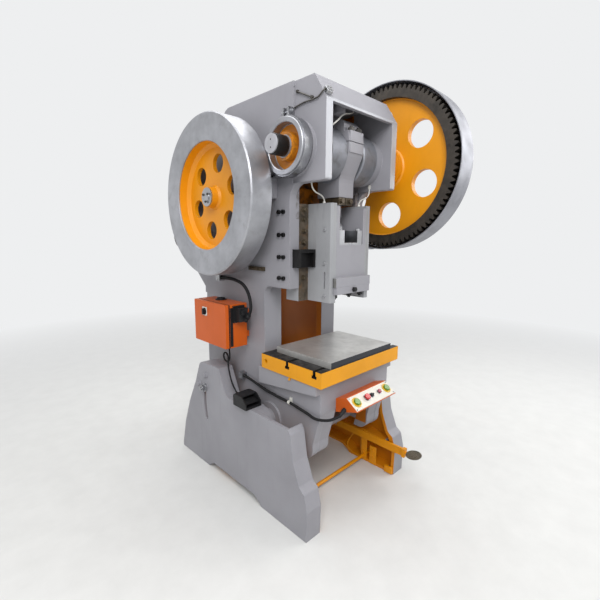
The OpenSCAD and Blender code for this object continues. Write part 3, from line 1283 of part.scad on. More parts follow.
// Seat of the ball: a trough from front to back with low cheeks
module ball_seat() at_origin() color([0.66, 0.66, 0.64]) {
    difference() {
        block(-ram_half + 34, ram_half - 34, -ram_half_d + 4, ram_half_d - 34, pocket_z, pocket_z + 88);
        block(-ball_d / 2 - 4, ball_d / 2 + 4, -ram_half_d, ball_d / 2 + 4, pocket_z + 12, pocket_z + 89);
    }
    for (x = [-1, 1]) for (y = [-ram_half_d + 24, ram_half_d - 54])
        translate([x * (ram_half - 57), y, pocket_z + 88]) hex_head(24, 12);
}

// Plate clamped under the ram, with the bore for the tool's shank
module clamp_plate() at_origin() color([0.68, 0.7, 0.73]) {
    difference() {
        union() {
            block(-ram_half - 20, ram_half + 20, -ram_half_d - 27, -ram_half_d - 0.6, ram_low_z - 44, ram_low_z);
            block(-ram_half + 2, ram_half - 2, -ram_half_d - 2, vee_y - vee_h - 4, ram_low_z - 44, ram_low_z);
        }
        translate([0, 0, ram_low_z - 45]) cylinder(h = 46, d = shank_d);
    }
}

// Black bolts under the clamp plate
module clamp_bolts() at_origin() color([0.1, 0.1, 0.11]) {
    for (x = [-125, 15, 125])
        translate([x, -ram_half_d + 22, ram_low_z - 44]) rotate([180, 0, 0]) {
            cylinder(h = 34, r = 9);
            translate([0, 0, 8]) hex_head(28, 18);
        }
    translate([0, -ram_half_d - 27, ram_low_z - 22]) rotate([90, 0, 0]) hex_head(28, 18);
}

left_leg();
right_leg();
tie_bars();
foot_switch();
foot_switch_pedal();
foot_switch_lead();
frame_casting();
tilt_bolts();
bolster_plate();
die_plate();
left_guide();
right_guide();
gib_bolts();
stop_brackets();
crank_bushes();
pinion_bearings();
shaft_covers();
brake_band();
brake_anchor();
gear_guard();
guard_brackets();
motor();
motor_bracket();
drive_belts();
control_cabinet();
cabinet_seal();
cabinet_door();
isolator_knob();
conduit_socket();
conduit();
conduit_fitting();
grease_fitting();
control_panel();
panel_face();
palm_button_left();
palm_button_right();
stop_button();
inch_button();
mode_selector();
panel_lead();
lead_clip();
crankshaft();
brake_drum();
drum_key_cap();
large_gear();
clutch_sleeve();
flywheel();
pinion_shaft();
pinion();
motor_pulley();
connecting_rod();
rod_cap_bolts();
adjusting_screw();
screw_clamp();
ram();
ball_seat();
clamp_plate();
clamp_bolts();
pedal_lever();
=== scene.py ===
import math

import bmesh
import bpy
from mathutils import Matrix, Vector


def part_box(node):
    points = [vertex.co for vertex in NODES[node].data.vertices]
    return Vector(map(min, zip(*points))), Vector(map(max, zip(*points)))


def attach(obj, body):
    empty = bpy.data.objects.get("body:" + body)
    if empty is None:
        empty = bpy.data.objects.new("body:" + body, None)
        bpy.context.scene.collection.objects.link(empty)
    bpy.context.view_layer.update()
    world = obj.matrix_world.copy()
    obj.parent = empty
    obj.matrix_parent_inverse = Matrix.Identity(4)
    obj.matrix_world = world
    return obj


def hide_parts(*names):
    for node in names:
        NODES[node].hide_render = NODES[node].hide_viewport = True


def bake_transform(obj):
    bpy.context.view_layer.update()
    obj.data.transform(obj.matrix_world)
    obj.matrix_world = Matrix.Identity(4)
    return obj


# Looks of an inclinable stamping press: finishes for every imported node, and the small trim around them.
# Other sizes and places are the millimetres of the part's own source, where x = 0 is the middle of the
# press, y = 0 the axis of the ram with the operator at negative y, and z = 0 the floor. at() turns such
# a place into a point of the row frame.
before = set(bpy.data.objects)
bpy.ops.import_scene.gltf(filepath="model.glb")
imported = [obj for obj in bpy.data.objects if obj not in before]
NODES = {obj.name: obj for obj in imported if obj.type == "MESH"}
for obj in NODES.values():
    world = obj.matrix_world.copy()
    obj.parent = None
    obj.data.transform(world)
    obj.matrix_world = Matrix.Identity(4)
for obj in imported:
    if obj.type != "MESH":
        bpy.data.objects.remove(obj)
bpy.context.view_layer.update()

# The source's x = 0 is the middle of the bolster, and its y = 0 the middle of the crank's bushes
BOLSTER_LOW, BOLSTER_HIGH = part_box("bolster_plate")
BUSH_LOW, BUSH_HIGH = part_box("crank_bushes")
MID_X = -round(500 * (BOLSTER_LOW[0] + BOLSTER_HIGH[0]), 1)
MID_Y = -round(500 * (BUSH_LOW[1] + BUSH_HIGH[1]), 1)
CRANK_Z = round(500 * (BUSH_LOW[2] + BUSH_HIGH[2]), 1)

# Sizes and places that the trim and the finishes share with the source
HALF_BODY, WALL = 350, 50
INNER = HALF_BODY - WALL + 1
HEAD_FRONT, HEAD_SIDE_X, HEAD_TOP = -217, 338, 2595
HEAD_CHAMFER_Y, HEAD_CHAMFER_Z = 87, 133
THROAT_Y, BODY_BACK = 290, 1010
GEAR_MODULE, GEAR_TEETH, PINION_TEETH, PINION_DROP = 12, 90, 15, 239
CENTRE_DISTANCE = GEAR_MODULE * (GEAR_TEETH + PINION_TEETH) / 2
PINION_Y, PINION_Z = math.sqrt(CENTRE_DISTANCE ** 2 - PINION_DROP ** 2), CRANK_Z - PINION_DROP
GEAR_END_X = 653
BOLSTER_Z, BOLSTER_HALF_W = 991, 400
SLOT_ROWS, SLOT_HEAD_HALF = (-210, 18), 19
LEG_IN_X, LEG_LOW = 402, 640
CABINET_Y, CABINET_LOW, CABINET_OUT_X = 435, 1010, 525
DOOR_OUT_X = 560
KNOB_Y, KNOB_Z = CABINET_Y + 257, CABINET_LOW + 222
SOCKET_X = 455
SWITCH_X, SWITCH_Y = -550, 245
PANEL_HALF, PANEL_LOW_EDGE, PANEL_TOP_EDGE = 207.5, (-379, 733), (-291, 796)
BUTTON_UP, PALM_X = 56.2, 157
MOTOR_Y = 1215
CONDUIT_R, LEAD_R, FOOT_LEAD_R = 11, 9, 6

LEFT, RIGHT, FRONT, BACK = (-1, 0, 0), (1, 0, 0), (0, -1, 0), (0, 1, 0)
UP, DOWN = (0, 0, 1), (0, 0, -1)
SIDES = (-1, 1)


def at(x, y, z):
    """Point of the part's source, in millimetres, as a point of the row frame in metres."""
    return Vector(((x - MID_X) / 1000, (y - MID_Y) / 1000, z / 1000))


def source(place):
    """Point of the row frame as millimetres of the source."""
    return (place[0] * 1000 + MID_X, place[1] * 1000 + MID_Y, place[2] * 1000)


class Slope:
    """Sloping face that runs across the press, given by its lower and upper edge in the side view."""

    def __init__(self, low, high):
        self.low = low
        self.angle = math.atan2(high[1] - low[1], high[0] - low[0])
        self.outward = (0, -math.sin(self.angle), math.cos(self.angle))

    def place(self, x, up, out):
        """Point at x, at a distance up the slope and a distance out of it."""
        return (x, self.low[0] + up * math.cos(self.angle) - out * math.sin(self.angle),
                self.low[1] + up * math.sin(self.angle) + out * math.cos(self.angle))


PANEL = Slope(PANEL_LOW_EDGE, PANEL_TOP_EDGE)
HEAD_CHAMFER = Slope((HEAD_FRONT, HEAD_TOP - HEAD_CHAMFER_Z), (HEAD_FRONT + HEAD_CHAMFER_Y, HEAD_TOP))

# Camera, found from the photograph
YAW, PITCH, ROLL = math.radians(44.395), math.radians(9.42), math.radians(0.306)
CAMERA_PLACE = (-1891.2, -1615.8, 1741.6)
PHOTO_FOCAL = 377.15
PHOTO_WIDTH = 600
SENSOR_WIDTH = 36


def add_camera():
    forward = Vector((math.sin(YAW) * math.cos(PITCH), math.cos(YAW) * math.cos(PITCH), -math.sin(PITCH)))
    level = Vector((math.cos(YAW), -math.sin(YAW), 0))
    upward = level.cross(forward)
    right = level * math.cos(ROLL) + upward * math.sin(ROLL)
    up = upward * math.cos(ROLL) - level * math.sin(ROLL)
    data = bpy.data.cameras.new("camera")
    data.sensor_width = SENSOR_WIDTH
    data.lens = PHOTO_FOCAL / PHOTO_WIDTH * SENSOR_WIDTH
    camera = bpy.data.objects.new("camera", data)
    turn = Matrix((right, up, -forward)).transposed().to_4x4()
    camera.matrix_world = Matrix.Translation(at(*CAMERA_PLACE)) @ turn
    bpy.context.scene.collection.objects.link(camera)
    bpy.context.scene.camera = camera


add_camera()


# Routes of the leads, as in the source
def smooth_route(points, cuts):
    """Smooth line through given points, with cuts steps between each two of them."""
    route = []
    for i in range(len(points) - 1):
        p0, p1 = Vector(points[max(i - 1, 0)]), Vector(points[i])
        p2, p3 = Vector(points[i + 1]), Vector(points[min(i + 2, len(points) - 1)])
        for k in range(cuts):
            t = k / cuts
            route.append(0.5 * (2 * p1 + (p2 - p0) * t + (2 * p0 - 5 * p1 + 4 * p2 - p3) * t * t
                                + (3 * p1 - p0 - 3 * p2 + p3) * t * t * t))
    route.append(Vector(points[-1]))
    return [at(*p) for p in route]


def loop_point(k):
    """Point k of the foot lead's one loop, an eighth of a turn after the last."""
    loop_r, drift = 33, 13
    turn = math.radians(45 * k)
    return (-461 - drift * k / 8, CABINET_Y + 145 - loop_r * math.cos(turn),
            CABINET_LOW - 105 - loop_r * math.sin(turn))


conduit_route = smooth_route([
    (-HALF_BODY - 26, CABINET_Y + 333, 1450), (-HALF_BODY - 26, CABINET_Y + 303, 1450),
    (-HALF_BODY - 34, CABINET_Y + 245, 1452), (-400, CABINET_Y + 175, 1455), (-417, CABINET_Y + 110, 1456),
    (-429, CABINET_Y + 62, 1454), (-438, CABINET_Y + 13, 1449), (-444, CABINET_Y - 37, 1437),
    (-448, CABINET_Y - 82, 1408), (-449, CABINET_Y - 112, 1364), (-447, CABINET_Y - 123, 1312),
    (-444, CABINET_Y - 115, 1273), (-SOCKET_X + 14, CABINET_Y - 93.9, CABINET_LOW + 229.3),
    (-SOCKET_X + 14, CABINET_Y - 66.2, CABINET_LOW + 201.6)], 3)
panel_lead_route = smooth_route([
    (-HALF_BODY - 24, 512, 765), (-HALF_BODY - 24, 480, 765), (-HALF_BODY - 23, 400, 753),
    (-HALF_BODY - 20, 270, 729), (-HALF_BODY - 18, 150, 718), (-HALF_BODY - 18, 31, 714),
    (-HALF_BODY - 18, -120, 696), (-HALF_BODY - 23, -190, 688), (-HALF_BODY - 7, -239, 688),
    (-HALF_BODY + 27, -271, 689), (-PANEL_HALF - 72.5, -285, 695), (-PANEL_HALF - 33.5, -285, 702),
    (-PANEL_HALF + 4, -284, 720)], 3)
foot_lead_route = smooth_route([
    (-460, CABINET_Y + 120, CABINET_LOW + 2), (-460, CABINET_Y + 120, CABINET_LOW - 18),
    (-460, CABINET_Y + 115, CABINET_LOW - 60), *[loop_point(k) for k in range(9)],
    (-478, CABINET_Y + 106, CABINET_LOW - 160), (-482, CABINET_Y + 85, LEG_LOW + 155),
    (-485, CABINET_Y + 50, LEG_LOW + 97), (SWITCH_X + 63, SWITCH_Y + 197, LEG_LOW + 57),
    (SWITCH_X + 63, SWITCH_Y + 166, LEG_LOW + 45), (SWITCH_X + 63, SWITCH_Y + 146, LEG_LOW + 44)], 2)


# Building blocks of the finishes
def linear(*colour):
    """Colour written as on a screen, 0 to 255, for a shader."""
    shares = [c / 255 for c in colour]
    return tuple(c / 12.92 if c <= 0.04045 else ((c + 0.055) / 1.055) ** 2.4 for c in shares) + (1.0,)


def shaded(colour, share):
    """The same colour for a shader, darker or paler by a share."""
    return linear(*[min(255, c * share) for c in colour])


class Nodes:
    """Node tree of a material or the world, with short calls for the nodes that the looks are made of."""

    def __init__(self, tree):
        self.tree = tree
        coordinates = self.put("ShaderNodeTexCoord").outputs
        self.where = coordinates["Object"]
        self.normal = coordinates["Normal"]
        self.generated = coordinates["Generated"]

    def give(self, node, name, value):
        """Sets an input of a node to a value, or links an output socket to it."""
        if isinstance(value, bpy.types.NodeSocket):
            self.tree.links.new(value, node.inputs[name])
        else:
            node.inputs[name].default_value = value

    def put(self, kind, inputs=None, **settings):
        """Adds a node. Each input is a value, or an output socket to link."""
        node = self.tree.nodes.new(kind)
        for name, value in settings.items():
            setattr(node, name, value)
        for name, value in (inputs or {}).items():
            self.give(node, name, value)
        return node

    def calc(self, operation, a, b=0.0):
        return self.put("ShaderNodeMath", {0: a, 1: b}, operation=operation).outputs[0]

    def above(self, value, limit):
        return self.calc("GREATER_THAN", value, limit)

    def below(self, value, limit):
        return self.calc("LESS_THAN", value, limit)

    def times(self, value, *others):
        for other in others:
            value = self.calc("MULTIPLY", value, other)
        return value

    def either(self, mask, *others):
        """1 where at least one of the masks is 1."""
        for other in others:
            mask = self.calc("MAXIMUM", mask, other)
        return mask

    def between(self, value, low, high):
        return self.times(self.above(value, low), self.below(value, high))

    def minus(self, value, point, axis):
        return self.calc("SUBTRACT", value, point[axis])

    def distance(self, first, *others):
        """Length of a line with these parts along the axes."""
        total = self.times(first, first)
        for part in others:
            total = self.calc("ADD", total, self.times(part, part))
        return self.calc("SQRT", total)

    def mix(self, share, a, b):
        """Colour between a and b, by a share from 0 to 1."""
        return self.put("ShaderNodeMix", {0: share, 6: a, 7: b}, data_type="RGBA").outputs[2]

    def mix_numbers(self, share, a, b):
        """Number between a and b. One that is the same in both stays a plain number."""
        if a == b:
            return a
        return self.put("ShaderNodeMix", {0: share, 2: a, 3: b}, data_type="FLOAT").outputs[0]

    def level(self, value, low, high, to_low=0.0, to_high=1.0):
        """Stretches a value from low..high to to_low..to_high, held at both ends."""
        return self.put("ShaderNodeMapRange", {0: value, 1: low, 2: high, 3: to_low, 4: to_high}).outputs[0]

    def noise(self, scale, detail=3.0, roughness=0.55, distortion=0.0, where=None):
        return self.put("ShaderNodeTexNoise", {
            "Vector": self.where if where is None else where, "Scale": scale, "Detail": detail,
            "Roughness": roughness, "Distortion": distortion}).outputs[0]

    def streaks(self, scales, detail, roughness):
        """Noise that is stretched along the axes with the smaller scales."""
        stretched = self.put("ShaderNodeMapping", {0: self.where, 3: scales}).outputs[0]
        return self.noise(1.0, detail, roughness, where=stretched)

    def axes(self, vector):
        return self.put("ShaderNodeSeparateXYZ", {0: vector}).outputs

    def faces_front(self):
        """1 where a surface looks at the operator."""
        return self.below(self.axes(self.normal)[1], -0.7)

    def inside(self, x, y, z):
        """1 inside a box, else 0. x, y and z are its ends in millimetres of the source."""
        place = self.axes(self.where)
        ends = list(zip(at(x[0], y[0], z[0]), at(x[1], y[1], z[1])))
        return self.times(*[self.between(place[i], min(ends[i]), max(ends[i])) for i in range(3)])

    def radius_about(self, y, z):
        """Distance from an axis that runs across the press at that depth and height."""
        centre = at(0, y, z)
        place = self.axes(self.where)
        return self.distance(*[self.minus(place[i], centre, i) for i in (1, 2)])

    def bumped(self, height, strength, distance, under):
        return self.put("ShaderNodeBump", {"Height": height, "Strength": strength, "Distance": distance,
                                           "Normal": under}).outputs[0]

    def rounded(self, radius):
        """Normal that softens the edges of a casting or a folded sheet."""
        return self.put("ShaderNodeBevel", {"Radius": radius}, samples=4).outputs[0]

    def edge_share(self, radius):
        """1 along outer edges, where paint wears thin, and 0 on faces."""
        flat = self.put("ShaderNodeNewGeometry").outputs["Normal"]
        dot = self.put("ShaderNodeVectorMath", {0: self.rounded(radius), 1: flat}, operation="DOT_PRODUCT")
        return self.level(dot.outputs["Value"], 0.985, 0.8)


def new_material(name, **sockets):
    """Material, its nodes and its shader. sockets are values of the shader, with _ for a space."""
    material = bpy.data.materials.new(name)
    material.use_nodes = True
    shader = material.node_tree.nodes["Principled BSDF"]
    for socket, value in sockets.items():
        shader.inputs[socket.replace("_", " ")].default_value = value
    return material, Nodes(material.node_tree), shader


def finish_from(name, look, normal, **sockets):
    """New material. look gives its colour, roughness and metal, and normal its surface, from the nodes."""
    material, n, shader = new_material(name, **sockets)
    surface = look(n)
    for key, socket in (("colour", "Base Color"), ("roughness", "Roughness"), ("metal", "Metallic")):
        n.give(shader, socket, surface[key])
    n.give(shader, "Normal", normal(n))
    return material


# Normals of surfaces
RINGS_SCALE = 900


def peel(radius=0.004, strength=0.14, scale=260):
    """Sprayed paint on a casting: soft edges and orange peel."""
    def normal(n):
        wave = n.bumped(n.noise(9, 3), 0.12, 0.006, n.rounded(radius))
        return n.bumped(n.noise(scale, 2), strength, 0.0006, wave)
    return normal


def turned(axis_y, axis_z, strength=0.16):
    """Turned part: fine rings about an axis across the press."""
    def normal(n):
        radius = n.times(n.radius_about(axis_y, axis_z), RINGS_SCALE)
        along = n.times(n.axes(n.where)[0], RINGS_SCALE)
        place = n.put("ShaderNodeCombineXYZ", {0: radius, 1: along, 2: 0.0}).outputs[0]
        return n.bumped(n.noise(1.0, 2, 0.6, where=place), strength, 0.0006, n.rounded(0.002))
    return normal


def brushed(x, y, z, strength=0.12):
    """Ground face, with scratches that run along the axis with the smallest scale."""
    def normal(n):
        return n.bumped(n.streaks((x, y, z), 3, 0.65), strength, 0.0005, n.rounded(0.0015))
    return normal


# Looks: colour, roughness and metal of a surface
GREY = (150, 149, 155)
YELLOW = (226, 148, 6)
ORANGE = (200, 90, 22)


def plain(colour, rough, metal=0.0):
    return {"colour": linear(*colour), "roughness": rough, "metal": metal}


PALE_EDGE = plain((178, 180, 187), rough=0.4)


def layered(n, share, under, over):
    """Two looks joined by a share from 0 to 1."""
    return {
        "colour": n.mix(share, under["colour"], over["colour"]),
        "roughness": n.mix_numbers(share, under["roughness"], over["roughness"]),
        "metal": n.mix_numbers(share, under["metal"], over["metal"])}


def worn_edges(n, surface, radius, bare, share):
    """Shows another look where the edges have rubbed through."""
    broken = n.level(n.noise(28, 4, 0.7), 0.42, 0.6)
    return layered(n, n.times(n.edge_share(radius), broken, share), surface, bare)


def enamel(n, colour, rough, stain):
    """Sprayed enamel with cloudy shade, thin dust and a few runs of dirt."""
    cloud = n.noise(2.2, 4)
    shade = n.mix(n.level(cloud, 0.35, 0.7), linear(*colour), shaded(colour, 0.93))
    speck = n.noise(42, 5, 0.7)
    shade = n.mix(n.level(speck, 0.6, 0.8, 0, 0.22 * stain), shade, shaded(colour, 0.68))
    drip = n.streaks((16, 16, 2.2), 5, 0.65)
    shade = n.mix(n.level(drip, 0.57, 0.83, 0, 0.4 * stain), shade, shaded(colour, 0.72))
    dull = n.level(cloud, 0.3, 0.7, rough - 0.05, rough + 0.09)
    return {"colour": shade, "roughness": dull, "metal": 0.0}


def bare_steel(n, colour, rough, stain, metal=1.0):
    """Machined steel with oil film and pale handling marks."""
    cloud = n.noise(5.5, 5, 0.62)
    shade = n.mix(n.level(cloud, 0.35, 0.68), linear(*colour), shaded(colour, 0.86))
    film = n.noise(14, 4, 0.6, 0.4)
    oil = linear(colour[0] * 0.62, colour[1] * 0.58, colour[2] * 0.5)
    shade = n.mix(n.level(film, 0.55, 0.8, 0, stain), shade, oil)
    dull = n.level(film, 0.3, 0.75, rough - 0.06, rough + 0.14)
    return {"colour": shade, "roughness": dull, "metal": metal}


def greasy(n, colour, rough):
    """Steel under old dark grease, glossy in patches."""
    patch = n.noise(18, 5, 0.6, 0.5)
    shade = n.mix(n.level(patch, 0.35, 0.7), linear(*colour), shaded(colour, 0.55))
    dull = n.level(patch, 0.35, 0.7, rough - 0.1, rough + 0.2)
    return {"colour": shade, "roughness": dull, "metal": 0.35}


def worn_grey(n, rough, stain, radius, wear):
    return worn_edges(n, enamel(n, GREY, rough, stain), radius, PALE_EDGE, wear)


def grey_paint(name, colour, rough, stain, radius):
    def look(n):
        edge = {"colour": shaded(colour, 1.16), "roughness": 0.4, "metal": 0.0}
        return worn_edges(n, enamel(n, colour, rough, stain), radius, edge, 0.55)
    return finish_from(name, look, peel(radius), Coat_Weight=0.08, Coat_Roughness=0.25,
                       Specular_IOR_Level=0.4)


def yellow_look(n):
    chipped = plain((116, 92, 52), rough=0.55, metal=0.2)
    return worn_edges(n, enamel(n, YELLOW, rough=0.4, stain=0.6), 0.003, chipped, 0.6)


def plastic(name, colour, rough, grain, **sockets):
    def look(n):
        cloud = n.noise(30, 4, 0.6)
        shade = n.mix(n.level(cloud, 0.4, 0.75), linear(*colour), shaded(colour, 0.84))
        dull = n.level(cloud, 0.35, 0.7, rough, rough + 0.12)
        return {"colour": shade, "roughness": dull, "metal": 0.0}

    def normal(n):
        return n.bumped(n.noise(900, 2), grain, 0.0003, n.rounded(0.0008))
    return finish_from(name, look, normal, **sockets)


def casting_look(n):
    """Grey outside with pale head fronts (worn metal and a painted highlight), yellow inside darkened as
    painted shade, grease under the crank.
    """
    grey = worn_grey(n, rough=0.42, stain=0.5, radius=0.006, wear=0.55)
    place = n.axes(n.where)
    in_head = n.times(n.below(place[1], at(0, HEAD_FRONT + 3, 0).y), n.above(place[2], 2.0))
    # Faces of the head that look at the operator are pale: partly worn bare metal, partly a painted highlight
    grey = layered(n, n.times(n.faces_front(), in_head), grey, plain((176, 177, 182), rough=0.34, metal=0.2))
    across = (-INNER, INNER)
    back = BODY_BACK - 4
    window = n.inside(across, (THROAT_Y + 2, back), (905, 1760))
    hollow = n.inside(across, (90, back), (1520, 2560))
    low = n.inside(across, (-150, 955), (436, 905))
    rear = n.inside(across, (560, back), (560, 1330))
    # The inside yellow is darker than the outside yellow: real yellow paint, darkened as painted shade in the
    # hollows
    yellow = enamel(n, (180, 104, 10), rough=0.42, stain=0.9)
    surface = layered(n, n.either(window, hollow, low, rear), grey, yellow)
    smear = n.level(n.noise(11, 5, 0.65, 0.6), 0.42, 0.62, 0, 0.85)
    below_crank = n.inside(across, (40, 420), (1850, 2190))
    return layered(n, n.times(smear, below_crank), surface, plain((70, 52, 30), rough=0.3, metal=0.1))


def hollow_side(n, y, z):
    """1 where a wall looks at a point in the side view: the inner sides of a hollow about that point."""
    centre = at(0, y, z)
    normal, place = n.axes(n.normal), n.axes(n.where)
    parts = [n.times(normal[i], n.minus(place[i], centre, i)) for i in (1, 2)]
    sideways = n.below(n.calc("ABSOLUTE", normal[0]), 0.7)
    return n.times(sideways, n.below(n.calc("ADD", *parts), -0.02))


def leg_look(side):
    """Grey leg whose inner side and pockets are yellow. side is -1 on the left and 1 on the right."""
    across = (side * 390, side * 500)
    pockets = [((-110, 440), (240, 448)), ((452, 900), (40, 610))]
    if side > 0:
        pockets += [((100, 830), (20, 80)), ((-190, 1085), (62, 300)), ((-110, 925), (300, 600))]

    def look(n):
        grey = worn_grey(n, rough=0.42, stain=0.65, radius=0.006, wear=0.6)
        yellow = enamel(n, (214, 134, 12), rough=0.42, stain=0.9)
        masks = [n.above(n.times(n.axes(n.normal)[0], -side), 0.5)]
        masks += [n.inside(across, y, z) for y, z in pockets]
        if side > 0:
            masks.append(hollow_side(n, 450, 200))
        return layered(n, n.either(*masks), grey, yellow)
    return look


def bolster_look(n):
    """Yellow plate whose top and slots are painted dark and glossy, as the shadow under the die plate with
    oil on it.
    """
    chipped = plain((120, 96, 56), rough=0.5, metal=0.3)
    yellow = worn_edges(n, enamel(n, (228, 154, 8), rough=0.4, stain=0.7), 0.004, chipped, 0.7)
    # Top face and slots: painted shadow under the die plate, dark and glossy like oil
    top = n.above(n.axes(n.where)[2], (BOLSTER_Z - 0.5) / 1000)
    across = (1 - BOLSTER_HALF_W, BOLSTER_HALF_W - 1)
    reach = SLOT_HEAD_HALF + 0.5
    slots = [n.inside(across, (y - reach, y + reach), (BOLSTER_Z - 47, BOLSTER_Z + 1)) for y in SLOT_ROWS]
    return layered(n, n.either(top, *slots), yellow, greasy(n, (52, 50, 49), rough=0.42))


def die_plate_look(n):
    """Ground plate, with painted shade on its front faces."""
    ground = bare_steel(n, (204, 203, 200), rough=0.34, stain=0.14, metal=0.6)
    # Faces that look at the operator are painted dark: painted shade on the front of the plate
    return layered(n, n.faces_front(), ground, plain((44, 46, 52), rough=0.5, metal=0.4))


def bright_rim(n):
    return bare_steel(n, (176, 177, 182), rough=0.38, stain=0.3, metal=0.8)


def greasy_rim(n):
    return greasy(n, (70, 64, 58), rough=0.42)


def wheel_look(y, z, rim_r, hub_r, rim):
    """Rim and hub in the look that rim gives, and a yellow web between them."""
    def look(n):
        web = n.between(n.radius_about(y, z), hub_r, rim_r)
        return layered(n, web, rim(n), enamel(n, YELLOW, rough=0.38, stain=0.6))
    return look


def guard_look(n):
    """Rolled guard sheet, dull, with a bright worn edge."""
    sheet = bare_steel(n, (150, 151, 158), rough=0.44, stain=0.25, metal=0.6)
    return worn_edges(n, sheet, 0.001, plain((190, 190, 192), rough=0.3, metal=1.0), 0.4)


def key_cap_look(n):
    """Pale cap on the shaft's end, with painted shade in its two screw holes."""
    hole_r = 0.0042
    # Painted shade: the two screw holes of the cap are coloured dark
    holes = [n.below(n.radius_about(0, CRANK_Z + side * 20), hole_r) for side in SIDES]
    cap = bare_steel(n, (190, 190, 196), rough=0.42, stain=0.3, metal=0.3)
    return layered(n, n.either(*holes), cap, plain((24, 24, 26), rough=0.6))


def drum_look(n):
    """Turned drum with a yellow recess in its outer face, greasy near the hub."""
    radius = n.radius_about(0, CRANK_Z)
    grease = n.level(n.noise(30, 5, 0.65, 0.5), 0.45, 0.62, 0, 0.75)
    near_hub = n.level(radius, 0.098, 0.062)
    paint = layered(n, n.times(grease, near_hub), enamel(n, (206, 128, 22), rough=0.42, stain=0.9),
                    plain((74, 60, 44), rough=0.34, metal=0.1))
    return layered(n, n.between(radius, 0.060, 0.119), bright_rim(n), paint)


def shaft_look(n):
    """Oiled steel shaft, black where its left end stands out of the drum."""
    left_end = n.below(n.axes(n.where)[0], at(-446, 0, 0).x)
    steel = bare_steel(n, (138, 140, 147), rough=0.44, stain=0.6, metal=0.6)
    return layered(n, left_end, steel, plain((30, 29, 29), rough=0.42, metal=0.5))


def ram_look(n):
    """Grey slide, with bare steel where it runs in its guides."""
    place = n.axes(n.where)
    slide_half = 0.1275
    out = n.calc("ABSOLUTE", n.minus(place[0], at(0, 0, 0), 0))
    side = n.times(n.above(n.calc("ABSOLUTE", n.axes(n.normal)[0]), 0.6), n.above(out, slide_half))
    back = n.above(place[1], at(0, 90, 0).y)
    return layered(n, n.either(side, back), worn_grey(n, rough=0.4, stain=0.55, radius=0.004, wear=0.6),
                   bare_steel(n, (150, 150, 148), rough=0.3, stain=0.7))


def guide_look(n):
    """Pale grey guide with thin oil runs, and dark grease on the flange beside the casting."""
    run = n.level(n.streaks((30, 30, 2.5), 4, 0.7), 0.55, 0.78, 0, 0.45)
    pale = enamel(n, (153, 154, 157), rough=0.36, stain=0.6)
    surface = layered(n, run, pale, plain((104, 100, 92), rough=0.3, metal=0.1))
    flange = n.times(n.faces_front(), n.above(n.axes(n.where)[1], at(0, 40, 0).y))
    grime = greasy(n, (104, 92, 78), rough=0.4)
    rust = n.level(n.noise(16, 5, 0.7), 0.55, 0.7, 0, 0.7)
    grime["colour"] = n.mix(rust, grime["colour"], linear(122, 88, 54))
    return layered(n, flange, surface, grime)


def cabinet_look(n):
    pale_edge = plain((226, 122, 66), rough=0.4)
    return worn_edges(n, enamel(n, ORANGE, rough=0.36, stain=0.45), 0.0025, pale_edge, 0.6)


def control_panel_look(n):
    """Orange panel box, with a black gland where its lead goes in."""
    gland = n.inside((-PANEL_HALF - 60, -PANEL_HALF - 0.3), (-330, -240), (660, 760))
    return layered(n, gland, cabinet_look(n), plain((30, 30, 32), rough=0.45))


def panel_face_look(n):
    """Off white plate, with a yellow collar round each palm button."""
    place, centre = n.axes(n.where), at(*PANEL.place(0, BUTTON_UP, 5))
    from_middle = n.calc("ABSOLUTE", n.minus(place[0], centre, 0))
    far = n.distance(n.calc("SUBTRACT", from_middle, PALM_X / 1000), n.minus(place[1], centre, 1),
                     n.minus(place[2], centre, 2))
    cream = enamel(n, (222, 219, 208), rough=0.34, stain=0.5)
    collar_r = 0.0332
    surface = layered(n, n.below(far, collar_r), cream, plain((218, 178, 30), rough=0.34))
    return worn_edges(n, surface, 0.001, plain((150, 146, 138), rough=0.4, metal=0.3), 0.5)


def black_oxide(n):
    return {**greasy(n, (34, 33, 34), rough=0.4), "roughness": 0.42, "metal": 0.5}


